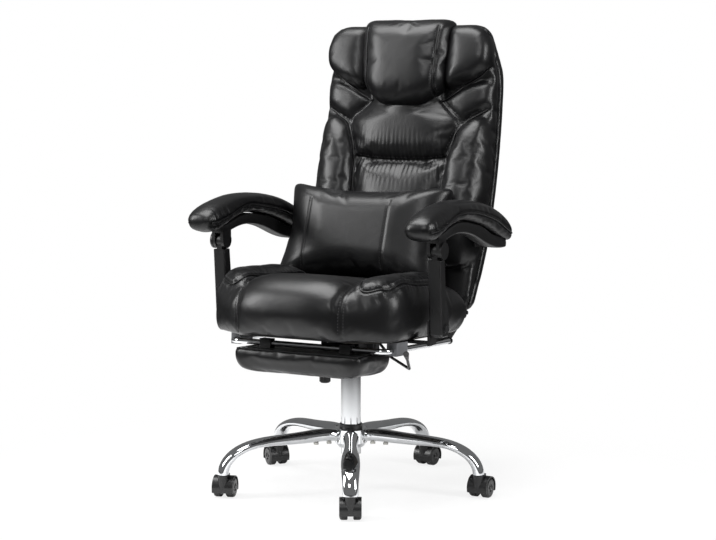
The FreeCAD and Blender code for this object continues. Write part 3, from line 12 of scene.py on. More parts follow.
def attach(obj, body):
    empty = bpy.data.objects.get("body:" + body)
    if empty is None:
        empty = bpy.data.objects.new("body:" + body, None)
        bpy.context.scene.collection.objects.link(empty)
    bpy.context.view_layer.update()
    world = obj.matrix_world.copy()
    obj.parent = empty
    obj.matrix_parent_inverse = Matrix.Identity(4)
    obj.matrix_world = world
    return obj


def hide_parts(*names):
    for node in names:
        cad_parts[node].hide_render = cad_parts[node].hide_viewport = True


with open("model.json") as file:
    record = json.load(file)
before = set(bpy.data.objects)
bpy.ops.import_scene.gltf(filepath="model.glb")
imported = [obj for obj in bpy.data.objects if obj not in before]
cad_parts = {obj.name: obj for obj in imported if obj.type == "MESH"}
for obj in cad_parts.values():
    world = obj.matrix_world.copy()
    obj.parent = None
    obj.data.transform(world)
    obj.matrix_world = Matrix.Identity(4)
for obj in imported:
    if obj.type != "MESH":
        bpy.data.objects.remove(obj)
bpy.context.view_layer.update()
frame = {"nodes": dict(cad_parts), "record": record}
scene = bpy.context.scene

# The planes that the upholstery is laid out on, as in the frame: x runs across, y up or to the
# rear, z out of the cushion. Lengths are in metres, the tilt and the leans in degrees.
SEAT_HEIGHT = 0.405
SEAT_TILT = 3.0
UPPER_Y = 0.289
UPPER_HEIGHT = 0.827
UPPER_LEAN = 11.2
LOWER_Y = 0.250
LOWER_HEIGHT = 0.690
LOWER_LEAN = 15.0


def tilted_plane(y, height, turn):
    return Matrix.Translation((0, y, height)) @ Matrix.Rotation(math.radians(turn), 4, "X")


SEAT_PLANE = tilted_plane(0, SEAT_HEIGHT, -SEAT_TILT)
UPPER_PLANE = tilted_plane(UPPER_Y, UPPER_HEIGHT, 90 - UPPER_LEAN)
LOWER_PLANE = tilted_plane(LOWER_Y, LOWER_HEIGHT, 90 - LOWER_LEAN)


def up(height):
    """Distance up the upper back's plane of a height over the floor."""
    return (height - UPPER_HEIGHT) / math.cos(math.radians(UPPER_LEAN))


def low_up(height):
    """The same on the lower back's plane."""
    return (height - LOWER_HEIGHT) / math.cos(math.radians(LOWER_LEAN))


# Meshes


def rows_of(items, key):
    rows = np.empty(len(items) * 3)
    items.foreach_get(key, rows)
    return rows.reshape(-1, 3)


def points_of(mesh):
    return rows_of(mesh.vertices, "co")


def set_points(mesh, co):
    mesh.vertices.foreach_set("co", co.ravel())
    mesh.update()


def bake_modifiers(piece):
    depsgraph = bpy.context.evaluated_depsgraph_get()
    mesh = bpy.data.meshes.new_from_object(piece.evaluated_get(depsgraph))
    piece.modifiers.clear()
    piece.data = mesh


def relax(mesh, rounds):
    """Even a mesh out: each point goes half way to the middle of its neighbours, over and over."""
    co = points_of(mesh)
    ends = np.empty(len(mesh.edges) * 2, np.int64)
    mesh.edges.foreach_get("vertices", ends)
    first, second = ends.reshape(-1, 2).T
    count = np.bincount(np.concatenate((first, second)), minlength=len(co))
    for _ in range(rounds):
        for axis in range(3):
            total = np.bincount(first, weights=co[second, axis], minlength=len(co))
            total += np.bincount(second, weights=co[first, axis], minlength=len(co))
            co[:, axis] += (total / np.maximum(count, 1) - co[:, axis]) * 0.5
    set_points(mesh, co)


def shade_smooth(mesh):
    mesh.polygons.foreach_set("use_smooth", [True] * len(mesh.polygons))


def tree_of(mesh):
    made = bmesh.new()
    made.from_mesh(mesh)
    tree = BVHTree.FromBMesh(made)
    made.free()
    return tree


# Upholstery

# Leather as a sheet of cloth, in the solver's own units
CLOTH = {
    "vertex_group_mass": "sewn",
    "quality": 5,
    "mass": 0.3,
    "tension_stiffness": 12,
    "compression_stiffness": 12,
    "shear_stiffness": 5,
    "bending_stiffness": 0.6,
    "use_pressure": True,
}
CLOTH_FRAMES = 20
LEAST_SEWN = 0.02
WELD_DISTANCE = 1e-5
# How far the pieces that a cover is sewn to are looked for
SEWN_REACH = 0.02
# Where folds and channels end, in shares of their reach
FOLD_END = 1.6
CHANNEL_END = 2.6
# Folds start this far from their seam, and their pitch wanders by this much
FOLD_START = 0.003
FOLD_WANDER = 0.55

# Each cover's piece, body and share of fill, by name
pads = {}


def copy_nodes(name, nodes):
    """A piece of its own that starts as a copy of the frame's soft solids."""
    made = bmesh.new()
    for node in nodes:
        made.from_mesh(frame["nodes"][node].data)
    bmesh.ops.remove_doubles(made, verts=made.verts, dist=WELD_DISTANCE)
    mesh = bpy.data.meshes.new(name)
    made.to_mesh(mesh)
    made.free()
    piece = bpy.data.objects.new(name, mesh)
    scene.collection.objects.link(piece)
    return piece


def remesh(piece, voxel):
    modifier = piece.modifiers.new("even_mesh", "REMESH")
    modifier.mode = "VOXEL"
    modifier.voxel_size = voxel
    bake_modifiers(piece)


def refine(piece):
    modifier = piece.modifiers.new("finer", "SUBSURF")
    modifier.levels = 1
    modifier.render_levels = 1
    bake_modifiers(piece)


def distance_to(co, names):
    """How far each point is from the frame's nodes of those names."""
    nearest = np.full(len(co), 1.0)
    for name in names:
        tree = tree_of(frame["nodes"][name].data)
        for index, point in enumerate(co):
            distance = tree.find_nearest(Vector(point), SEWN_REACH)[3]
            if distance is not None:
                nearest[index] = min(nearest[index], distance)
    return nearest


def held(distance, start, width):
    """How firmly points are held: 1 at what holds them, and less with distance down to 0."""
    return np.clip(start - distance / width, 0, 1)


def inflate(piece, sewn, pressure, spare, cap):
    """Blow a cover up as cloth that is sewn down where sewn is 1.

    Spare is the share of extra cloth, and cap is the most that a point may move."""
    group = piece.vertex_groups.new(name=CLOTH["vertex_group_mass"])
    for index in np.nonzero(sewn > LEAST_SEWN)[0]:
        group.add([int(index)], float(sewn[index]), "REPLACE")
    before = points_of(piece.data)
    cloth = piece.modifiers.new("cloth", "CLOTH")
    for key, value in CLOTH.items():
        setattr(cloth.settings, key, value)
    cloth.settings.uniform_pressure_force = pressure
    cloth.settings.shrink_min = -spare
    cloth.settings.effector_weights.gravity = 0
    cloth.collision_settings.use_collision = False
    cloth.point_cache.frame_start = 1
    cloth.point_cache.frame_end = CLOTH_FRAMES
    for step in range(1, CLOTH_FRAMES + 1):
        scene.frame_set(step)
    depsgraph = bpy.context.evaluated_depsgraph_get()
    after = points_of(piece.evaluated_get(depsgraph).data)
    move = after - before
    length = np.linalg.norm(move, axis=1)
    move *= (cap * np.tanh(length / cap) / np.maximum(length, 1e-9))[:, None]
    piece.modifiers.clear()
    piece.vertex_groups.clear()
    set_points(piece.data, before + move)
    scene.frame_set(1)


def seam_tree(seams):
    """A tree of the seams' points, and each point's place along them."""
    samples = [point for seam in seams for point in seam]
    tree = KDTree(len(samples))
    along = []
    place = 0.0
    for seam in seams:
        last = seam[0]
        for point in seam:
            place += (point - last).length
            along.append(place)
            last = point
    for index, point in enumerate(samples):
        tree.insert(point, index)
    tree.balance()
    return tree, along


def pad(name, nodes, body, voxel, rounds, fill, sewn_to=(), seams=None, **cloth):
    """A padded leather cover that takes the place of soft solids of the frame.

    It is held where it lies on other pieces and along its seams, and blown up between them."""
    piece = copy_nodes(name, nodes)
    remesh(piece, voxel)
    relax(piece.data, rounds)
    pads[name] = (piece, body, fill)
    co = points_of(piece.data)
    sewn = np.zeros(len(co))
    if sewn_to:
        sewn = held(distance_to(co, sewn_to), 1.5, voxel * 1.1)
    if seams:
        tree, _ = seam_tree(seams())
        away = np.array([tree.find(Vector(point))[2] for point in co])
        sewn = np.maximum(sewn, held(away, 1.6, voxel * 0.9))
    if cloth:
        inflate(piece, sewn, **cloth)
        relax(piece.data, 1)
    refine(piece)
    shade_smooth(piece.data)
    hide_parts(*nodes)
    return piece


def finish_pads():
    for piece, body, fill in pads.values():
        piece.data.materials.clear()
        piece.data.materials.append(materials["cover_leather"])
        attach(piece, body)


def displace(piece, amount):
    """Move each point along its normal."""
    mesh = piece.data
    normals = rows_of(mesh.vertex_normals, "vector")
    set_points(mesh, points_of(mesh) + normals * amount[:, None])


def gather(piece, seams, pitch, depth, reach, seed):
    """Draw the leather into small folds that run away from the seams and die out."""
    tree, along = seam_tree(seams)
    co = points_of(piece.data)
    amount = np.zeros(len(co))
    wobble = np.random.default_rng(seed).uniform(0, 2 * math.pi, 6)
    for index, point in enumerate(co):
        _, nearest, distance = tree.find(Vector(point))
        if distance > reach * FOLD_END:
            continue
        place = along[nearest]
        phase = 2 * math.pi * place / pitch
        for step, turn in enumerate(wobble):
            phase += FOLD_WANDER * math.sin(place * (9 + 17 * step) + turn)
        fade = math.exp(-((distance / reach) ** 2)) * min(1.0, distance / FOLD_START)
        amount[index] = depth * fade * math.sin(phase)
    displace(piece, amount)


def sink(piece, seams, depth, reach):
    """Press a sewn channel into the leather along the seams."""
    tree, _ = seam_tree(seams)
    co = points_of(piece.data)
    amount = np.zeros(len(co))
    for index, point in enumerate(co):
        distance = tree.find(Vector(point))[2]
        if distance < reach * CHANNEL_END:
            amount[index] = -depth * math.exp(-((distance / reach) ** 2))
    displace(piece, amount)


# Seams, piping and stitches

CORNER_ROUNDS = 3
TRACE_PITCH = 0.004
TRACE_HEIGHT = 0.20
TRACE_ROUNDS = 4
LIFT_ROUNDS = 3
LONGEST_STEP = 0.02
NEAR_SEAM = 0.03
NEAR_STITCH = 0.02
STITCH_PITCH = 0.0072
STITCH_LENGTH = 0.0046
STITCH_RADIUS = 0.00065
STITCH_PARTS = (-0.5, -0.3, 0.0, 0.3, 0.5)
STITCH_SIDES = 6


def cover_tree(cover):
    return tree_of(pads[cover][0].data)


def smooth_line(points):
    """A polyline with its corners cut off, over and over."""
    line = [Vector(point) for point in points]
    for _ in range(CORNER_ROUNDS):
        cut = [line[0]]
        for start, end in zip(line, line[1:]):
            cut.append(start.lerp(end, 0.25))
            cut.append(start.lerp(end, 0.75))
        cut.append(line[-1])
        line = cut
    return line


def evenly(line, pitch):
    """Points along a polyline, one every pitch."""
    out = [line[0].copy()]
    left = pitch
    for start, end in zip(line, line[1:]):
        length = (end - start).length
        place = left
        while place <= length and length > 0:
            out.append(start.lerp(end, place / length))
            place += pitch
        left = place - length
    return out


def steady(line, rounds):
    """Take the small jumps out of a traced line."""
    line = [point.copy() for point in line]
    for _ in range(rounds):
        inner = [a * 0.25 + b * 0.5 + c * 0.25 for a, b, c in zip(line, line[1:], line[2:])]
        line = line[:1] + inner + line[-1:]
    return line


def trace(plane, outline, cover, side):
    """Lay a line drawn on a plane down onto a cover, from the plane's front."""
    tree = cover_tree(cover)
    inward = (plane.to_3x3() @ Vector((0, 0, -1))).normalized()
    line = []
    for point in evenly(smooth_line([(side * x, y, 0) for x, y in outline]), TRACE_PITCH):
        origin = plane @ Vector((point.x, point.y, TRACE_HEIGHT))
        spot = tree.ray_cast(origin, inward, TRACE_HEIGHT * 2)[0]
        if spot is not None:
            line.append(spot)
    return steady(line, TRACE_ROUNDS)


def cast(rays, cover, reach):
    """Lay points down onto a cover, each along its own ray, without those that jump aside."""
    tree = cover_tree(cover)
    line = []
    for origin, direction in rays:
        spot = tree.ray_cast(origin, direction.normalized(), reach)[0]
        if spot is not None and (not line or (spot - line[-1]).length < LONGEST_STEP):
            line.append(spot)
    return steady(line, TRACE_ROUNDS)


def sew_on(name, data, finish, cover):
    """Put a seam's piping or stitches into the scene, on the body of their cover."""
    data.materials.append(materials[finish])
    piece = bpy.data.objects.new(name, data)
    scene.collection.objects.link(piece)
    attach(piece, pads[cover][1])


def piping(name, line, cover, height, radius):
    """A round leather cord sewn into a seam, its middle at a height over the cover."""
    tree = cover_tree(cover)
    raised = []
    for point in line:
        spot, normal = tree.find_nearest(point, NEAR_SEAM)[:2]
        if spot is not None:
            raised.append(spot + normal * height)
    curve = bpy.data.curves.new(name, "CURVE")
    curve.dimensions = "3D"
    curve.bevel_depth = radius
    curve.bevel_resolution = 2
    curve.use_fill_caps = True
    spline = curve.splines.new("POLY")
    spline.points.add(len(raised) - 1)
    for item, point in zip(spline.points, steady(raised, LIFT_ROUNDS)):
        item.co = (*point, 1.0)
    sew_on(name, curve, "piping_leather", cover)


def pipe_all(name, lines, cover, height, radius):
    for number, line in enumerate(lines):
        piping("%s_%d" % (name, number), line, cover, height, radius)


def stitch_shape():
    """One stitch: a short thread that dips into the leather at both ends."""
    points = []
    for part in STITCH_PARTS:
        dip = -STITCH_RADIUS * 2.2 * (abs(part) * 2) ** 3
        wide = STITCH_RADIUS * (1.0 if abs(part) < 0.5 else 0.4)
        for step in range(STITCH_SIDES):
            turn = step * 2 * math.pi / STITCH_SIDES
            points.append((part * STITCH_LENGTH, wide * math.cos(turn),
                           dip + wide * math.sin(turn) + STITCH_RADIUS * 0.6))
    last = len(points) - STITCH_SIDES
    faces = []
    for ring in range(0, last, STITCH_SIDES):
        for step in range(STITCH_SIDES):
            here = ring + step
            other = ring + (step + 1) % STITCH_SIDES
            faces.append((here, other, other + STITCH_SIDES, here + STITCH_SIDES))
    faces.append(tuple(reversed(range(STITCH_SIDES))))
    faces.append(tuple(range(last, len(points))))
    return np.array(points), faces


def stitches(name, rows, cover):
    """Rows of stitches: each row is a traced line and its distance to the side of the seam."""
    tree = cover_tree(cover)
    shape, faces = stitch_shape()
    all_points = []
    all_faces = []
    for line, aside in rows:
        spots = evenly(line, STITCH_PITCH)
        for before, here, after in zip(spots, spots[1:], spots[2:]):
            tangent = (after - before).normalized()
            normal = tree.find_nearest(here, NEAR_SEAM)[1]
            if normal is None:
                continue
            place = here + tangent.cross(normal).normalized() * aside
            spot, normal = tree.find_nearest(place, NEAR_STITCH)[:2]
            if spot is None:
                continue
            across = tangent.cross(normal).normalized()
            tangent = normal.cross(across).normalized()
            base = len(all_points) * len(shape)
            all_points.append(shape @ np.array([tangent, across, normal]) + np.array(spot))
            all_faces.extend([tuple(base + index for index in face) for face in faces])
    mesh = bpy.data.meshes.new(name)
    mesh.from_pydata(np.concatenate(all_points).tolist(), [], all_faces)
    mesh.update()
    shade_smooth(mesh)
    sew_on(name, mesh, "polyester_thread", cover)


def rows_beside(lines, *asides):
    """Rows of stitches at some distances to the side of each line."""
    return [(line, aside) for line in lines for aside in asides]


# Materials


def linear(text):
    """A hex colour as linear light."""
    values = [int(text[index:index + 2], 16) / 255 for index in (1, 3, 5)]
    bent = [v / 12.92 if v <= 0.04045 else ((v + 0.055) / 1.055) ** 2.4 for v in values]
    return (*bent, 1.0)


def add(tree, kind, inputs=None, **settings):
    """Add a node with its settings; an input is a value or another node's output."""
    item = tree.nodes.new(kind)
    for key, value in settings.items():
        setattr(item, key, value)
    for key, value in (inputs or {}).items():
        if isinstance(value, bpy.types.NodeSocket):
            tree.links.new(value, item.inputs[key])
        else:
            item.inputs[key].default_value = value
    return item


def empty_tree(owner):
    owner.use_nodes = True
    owner.node_tree.nodes.clear()
    return owner.node_tree


def surface(name, shader_inputs):
    """A material with one Principled shader; returns it with its tree and the place coordinates."""
    material = bpy.data.materials.new(name)
    tree = empty_tree(material)
    shader = add(tree, "ShaderNodeBsdfPrincipled", shader_inputs)
    add(tree, "ShaderNodeOutputMaterial", {"Surface": shader.outputs["BSDF"]})
    place = add(tree, "ShaderNodeTexCoord").outputs["Object"]
    return material, tree, shader, place


def per_metre(millimetres):
    """The texture scale at which one cell is that many millimetres."""
    return 1000.0 / millimetres


def colour_between(tree, shader, factor, dark, light):
    mix = add(tree, "ShaderNodeMix", {"Factor": factor}, data_type="RGBA")
    mix.inputs["A"].default_value = linear(dark)
    mix.inputs["B"].default_value = linear(light)
    tree.links.new(mix.outputs["Result"], shader.inputs["Base Color"])


def roughness_between(tree, shader, factor, low, high):
    spread = add(tree, "ShaderNodeMapRange", {"Value": factor, "To Min": low, "To Max": high})
    tree.links.new(spread.outputs["Result"], shader.inputs["Roughness"])


def pu_leather(name, grain, crease):
    """Polyurethane leather: an embossed pebble grain under a thin satin film, so its lights are
    broad and soft, with fine creases where it is drawn over foam."""
    material, tree, shader, place = surface(name, {"IOR": 1.46, "Specular IOR Level": 0.42})
    pebble = add(tree, "ShaderNodeTexVoronoi", {"Vector": place, "Scale": per_metre(grain)},
                 feature="SMOOTH_F1")
    folds = add(tree, "ShaderNodeTexNoise", {
        "Vector": place, "Scale": per_metre(46), "Detail": 3.0, "Roughness": 0.5, "Distortion": 0.8,
    })
    patches = add(tree, "ShaderNodeTexNoise", {
        "Vector": place, "Scale": per_metre(90), "Detail": 2.0,
    })
    colour_between(tree, shader, patches.outputs["Fac"], "#060607", "#0c0c0d")
    roughness_between(tree, shader, patches.outputs["Fac"], 0.31, 0.40)
    coarse = add(tree, "ShaderNodeBump", {
        "Height": folds.outputs["Fac"], "Strength": crease, "Distance": 0.003,
    })
    fine = add(tree, "ShaderNodeBump", {
        "Height": pebble.outputs["Distance"], "Strength": 0.16, "Distance": 0.0006,
        "Normal": coarse.outputs["Normal"],
    })
    tree.links.new(fine.outputs["Normal"], shader.inputs["Normal"])
    return material


def polyester_thread():
    """Bonded polyester sewing thread: dark grey twist, duller than the leather."""
    material, tree, shader, place = surface("polyester_thread", {"Roughness": 0.55})
    twist = add(tree, "ShaderNodeTexWave", {
        "Vector": place, "Scale": per_metre(1.2), "Distortion": 1.0,
    })
    colour_between(tree, shader, twist.outputs["Fac"], "#1d1d1f", "#2e2e31")
    return material


def chrome_plate():
    """Chromium plate on polished steel: a bright cool mirror with the faintest polishing haze."""
    material, tree, shader, place = surface("chrome_plate", {"Metallic": 1.0})
    haze = add(tree, "ShaderNodeTexNoise", {
        "Vector": place, "Scale": per_metre(24), "Detail": 5.0,
    })
    colour_between(tree, shader, haze.outputs["Fac"], "#c9cbcd", "#d9dadc")
    roughness_between(tree, shader, haze.outputs["Fac"], 0.035, 0.085)
    return material


def moulded_plastic(name, dark, light, roughness, texture):
    """Injection-moulded plastic: one colour right through, with the mould's fine spark texture."""
    material, tree, shader, place = surface(name, {"IOR": 1.49})
    sparks = add(tree, "ShaderNodeTexNoise", {
        "Vector": place, "Scale": per_metre(texture), "Detail": 3.0,
    })
    flow = add(tree, "ShaderNodeTexNoise", {
        "Vector": place, "Scale": per_metre(40), "Detail": 2.0,
    })
    colour_between(tree, shader, flow.outputs["Fac"], dark, light)
    roughness_between(tree, shader, flow.outputs["Fac"], roughness - 0.04, roughness + 0.06)
    bump = add(tree, "ShaderNodeBump", {
        "Height": sparks.outputs["Fac"], "Strength": 0.12, "Distance": 0.0005,
    })
    tree.links.new(bump.outputs["Normal"], shader.inputs["Normal"])
    return material


def powder_coat():
    """Powder-coated pressed steel: a satin black skin with a slight orange peel."""
    material, tree, shader, place = surface("powder_coat", {"IOR": 1.5})
    peel = add(tree, "ShaderNodeTexNoise", {
        "Vector": place, "Scale": per_metre(2.4), "Detail": 1.0,
    })
    dust = add(tree, "ShaderNodeTexNoise", {
        "Vector": place, "Scale": per_metre(60), "Detail": 3.0,
    })
    colour_between(tree, shader, dust.outputs["Fac"], "#101011", "#1a1a1b")
    roughness_between(tree, shader, dust.outputs["Fac"], 0.36, 0.5)
    bump = add(tree, "ShaderNodeBump", {
        "Height": peel.outputs["Fac"], "Strength": 0.2, "Distance": 0.0006,
    })
    tree.links.new(bump.outputs["Normal"], shader.inputs["Normal"])
    return material


def zinc_plate():
    """Zinc-plated steel: a pale grey metal, slightly clouded by its crystals."""
    material, tree, shader, place = surface("zinc_plate", {"Metallic": 1.0})
    cloud = add(tree, "ShaderNodeTexNoise", {
        "Vector": place, "Scale": per_metre(6), "Detail": 4.0,
    })
    colour_between(tree, shader, cloud.outputs["Fac"], "#9d9c98", "#bfbeb9")
    roughness_between(tree, shader, cloud.outputs["Fac"], 0.24, 0.4)
    return material


def stained_plywood():
    """Plywood under a dark stain: a dull brown black with the veneer's long faint grain."""
    material, tree, shader, place = surface("stained_plywood", {"Roughness": 0.62})
    stretched = add(tree, "ShaderNodeMapping", {"Vector": place, "Scale": (1.0, 0.12, 1.0)})
    rings = add(tree, "ShaderNodeTexNoise", {
        "Vector": stretched.outputs["Vector"], "Scale": per_metre(5), "Detail": 6.0,
        "Distortion": 0.6,
    })
    colour_between(tree, shader, rings.outputs["Fac"], "#15120f", "#262019")
    bump = add(tree, "ShaderNodeBump", {
        "Height": rings.outputs["Fac"], "Strength": 0.15, "Distance": 0.0005,
    })
    tree.links.new(bump.outputs["Normal"], shader.inputs["Normal"])
    return material


materials = {
    "cover_leather": pu_leather("cover_leather", 2.2, 0.14),
    "piping_leather": pu_leather("piping_leather", 2.0, 0.06),
    "polyester_thread": polyester_thread(),
    "chrome_plate": chrome_plate(),
    "arm_polypropylene": moulded_plastic("arm_polypropylene", "#080809", "#101011", 0.40, 1.6),
    "caster_nylon": moulded_plastic("caster_nylon", "#070708", "#0e0e0f", 0.34, 1.4),
    "guide_nylon": moulded_plastic("guide_nylon", "#5d5e60", "#6c6d70", 0.42, 1.4),
    "powder_coat": powder_coat(),
    "zinc_plate": zinc_plate(),
    "stained_plywood": stained_plywood(),
}

# The finish for each material slot of the frame
FINISHES = {
    "chrome": "chrome_plate",
    "black_steel": "powder_coat",
    "steel": "zinc_plate",
    "black_plastic": "arm_polypropylene",
    "guide_plastic": "guide_nylon",
    "wheel_nylon": "caster_nylon",
    "plywood": "stained_plywood",
    "black_pu_leather": "cover_leather",
}


def dress_frame():
    """Give each piece of the frame its finish; a caster's hood is nylon like its wheels."""
    slots = {row["node"]: row["material_slot"] for row in frame["record"]["subparts"]}
    for name, item in frame["nodes"].items():
        finish = "caster_nylon" if name.startswith("caster") else FINISHES[slots[name]]
        item.data.materials.clear()
        item.data.materials.append(materials[finish])


# The seat

# The seams beside the centre panel run a little outside its edge
CENTRE_HALF = 0.139
SEAM_OUTSIDE = 0.003
SEAT_SEAM = CENTRE_HALF + SEAM_OUTSIDE
# On the seat's plane: where those seams start, and the middle of the roll over the seat's front
SEAM_REAR = 0.10
SEAM_LENGTH = 0.336
ROLL_Y = -0.236
ROLL_Z = 0.062
FRONT_DROP = 0.048
# Where the rays start over the seat, round the roll and before the front, and how far they go
TOP_START = 0.40
ROLL_START = 0.3
FRONT_START = -0.55
SEAT_RAY_REACH = 0.45
TOP_RAYS = 60
ROLL_RAYS = 24
FRONT_RAYS = 12
# A bolster's edge, from its inner side round its front to its outer side
BOLSTER_EDGE = [(0.148, 0.055), (0.148, -0.286), (0.205, -0.272), (0.243, -0.222), (0.245, 0.03)]


def seat_front_seam(x):
    """The seam beside the seat's centre panel: along the top, over the front roll and down."""
    rays = []
    for step in range(TOP_RAYS):
        y = SEAM_REAR - SEAM_LENGTH * step / (TOP_RAYS - 1)
        rays.append((Vector((x, y, TOP_START)), Vector((0, 0, -1))))
    middle = Vector((x, ROLL_Y, ROLL_Z))
    for step in range(1, ROLL_RAYS):
        turn = math.radians(90 * step / ROLL_RAYS)
        outward = Vector((0, -math.cos(math.pi / 2 - turn), math.sin(math.pi / 2 - turn)))
        rays.append((middle + outward * ROLL_START, -outward))
    for step in range(FRONT_RAYS):
        z = ROLL_Z - FRONT_DROP * step / (FRONT_RAYS - 1)
        rays.append((Vector((x, FRONT_START, z)), Vector((0, 1, 0))))
    turned = SEAT_PLANE.to_3x3()
    rays = [(SEAT_PLANE @ origin, turned @ direction) for origin, direction in rays]
    return cast(rays, "seat_cover", SEAT_RAY_REACH)


def seat_seams():
    """The two seams beside the centre panel, then the edges of the two bolsters."""
    fronts = [seat_front_seam(side * SEAT_SEAM) for side in (1, -1)]
    return fronts + [trace(SEAT_PLANE, BOLSTER_EDGE, "seat_cover", side) for side in (1, -1)]


def make_seat():
    nodes = ["seat_cushion", "seat_centre_panel", "seat_bolster_left", "seat_bolster_right"]
    seat = pad("seat_cover", nodes, "seat", voxel=0.0065, rounds=7, fill=0.9,
               sewn_to=["seat_board"], seams=seat_seams, pressure=3.5, spare=0.018, cap=0.009)
    lines = seat_seams()
    fronts, rims = lines[:2], lines[2:]
    gather(seat, rims, pitch=0.019, depth=0.0004, reach=0.026, seed=5)
    sink(seat, lines, depth=0.0035, reach=0.006)
    pipe_all("seat_bolster_piping", rims, "seat_cover", height=0.001, radius=0.0024)
    rows = rows_beside(fronts, -0.006, 0.006) + rows_beside(rims, -0.009, 0.009)
    stitches("seat_stitches", rows, "seat_cover")


# The back

# The seams on its left half, as places across and heights over the floor
UPPER_SEAMS = {
    "cross": [(-0.130, 0.829), (-0.06, 0.820), (0.06, 0.820), (0.130, 0.829)],
    "waist": [(0.133, 0.829), (0.158, 0.900), (0.162, 0.926), (0.132, 0.950), (0.101, 0.978)],
    "shoulder": [(0.101, 0.978), (0.130, 0.991), (0.165, 1.012), (0.205, 1.034), (0.236, 1.064)],
    "wing": [(0.238, 1.066), (0.2405, 1.108), (0.228, 1.148), (0.206, 1.166)],
}
LOWER_SEAMS = {
    "bolster": [(0.120, 0.560), (0.126, 0.700), (0.134, 0.828), (0.150, 0.886), (0.166, 0.920),
                (0.200, 0.938), (0.232, 0.956)],
}


def back_lines(*wanted):
    """The front cover's seams of those names; each but the cross seam comes on both sides."""
    lines = []
    for name in wanted:
        if name in UPPER_SEAMS:
            plane = UPPER_PLANE
            outline = [(x, up(height)) for x, height in UPPER_SEAMS[name]]
        else:
            plane = LOWER_PLANE
            outline = [(x, low_up(height)) for x, height in LOWER_SEAMS[name]]
        for side in ((1,) if name == "cross" else (1, -1)):
            lines.append(trace(plane, outline, "back_front_cover", side))
    return [line for line in lines if len(line) > 3]


def back_seams():
    return back_lines("cross", "waist", "shoulder", "wing", "bolster")


def make_back():
    nodes = ["back_foam", "back_centre_upper", "back_centre_lower", "back_bolster_left",
             "back_bolster_right", "shoulder_panels", "head_wing_left", "head_wing_right"]
    back = pad("back_front_cover", nodes, "back", voxel=0.0065, rounds=6, fill=0.9,
               sewn_to=["back_rear_cover"], seams=back_seams, pressure=3.5, spare=0.012, cap=0.008)
    pad("back_shell_cover", ["back_rear_cover"], "back", voxel=0.007, rounds=3, fill=0.95)
    cross = back_lines("cross")
    plain = cross + back_lines("waist")
    rims = back_lines("wing")
    piped = back_lines("shoulder", "bolster") + rims
    gather(back, cross, pitch=0.0125, depth=0.0008, reach=0.055, seed=11)
    gather(back, rims, pitch=0.015, depth=0.0009, reach=0.030, seed=12)
    sink(back, plain + piped, depth=0.0038, reach=0.006)
    pipe_all("back_piping", piped, "back_front_cover", height=0.0012, radius=0.0023)
    rows = rows_beside(plain, -0.0055, 0.0055) + rows_beside(piped, -0.009)
    stitches("back_stitches", rows, "back_front_cover")


# The pillows

# Heights over the floor where the head pillow has its waist, its foot and its top
HEAD_WAIST = 1.050
HEAD_FOOT = 0.972
HEAD_TOP = 1.186
HEAD_HALF = 0.12
# The rays that lay rows down a pillow start in front of the chair
PILLOW_START = -0.30
PILLOW_RAY_REACH = 1.2
PILLOW_RAYS = 50


def shape_head_pillow(piece):
    """Widen the pillow towards its top and bring its foot down to a round tip."""
    mesh = piece.data
    inverse = UPPER_PLANE.inverted()
    flat = points_of(mesh) @ np.array(inverse.to_3x3()).T + np.array(inverse.translation)
    waist = up(HEAD_WAIST)
    high = np.clip((flat[:, 1] - waist) / (up(HEAD_TOP) - waist), 0, 1)
    low = np.clip((waist - flat[:, 1]) / (waist - up(HEAD_FOOT)), 0, 1)
    flat[:, 0] *= 1.07 + 0.07 * high - 0.36 * low ** 2.6
    flat[:, 1] -= 0.020 * low ** 1.5 * (1 - (np.abs(flat[:, 0]) / HEAD_HALF) ** 2)
    turned = np.array(UPPER_PLANE.to_3x3())
    set_points(mesh, flat @ turned.T + np.array(UPPER_PLANE.translation))


def shape_lumbar_pillow(piece):
    """Let the pillow lie to one side with one lower corner pulled out, as it was laid down."""
    mesh = piece.data
    co = points_of(mesh)
    low, high = co.min(axis=0), co.max(axis=0)
    left = (high[0] - co[:, 0]) / (high[0] - low[0])
    down = (high[2] - co[:, 2]) / (high[2] - low[2])
    co[:, 0] -= 0.010 + 0.018 * left * down
    co[:, 2] -= 0.010 * down
    set_points(mesh, co)


def pillow_rows(cover, foot, top, places):
    """Lines down a pillow's front, each from a share of its width at the top to one at the foot."""
    across = points_of(pads[cover][0].data)[:, 0]
    left, right = across.min(), across.max()
    lines = []
    for top_share, foot_share in places:
        rays = []
        for step in range(PILLOW_RAYS):
            part = step / (PILLOW_RAYS - 1)
            x = left + (right - left) * (top_share + (foot_share - top_share) * part)
            origin = Vector((x, PILLOW_START, top + (foot - top) * part))
            rays.append((origin, Vector((0, 1, 0))))
        lines.append(cast(rays, cover, PILLOW_RAY_REACH))
    return lines


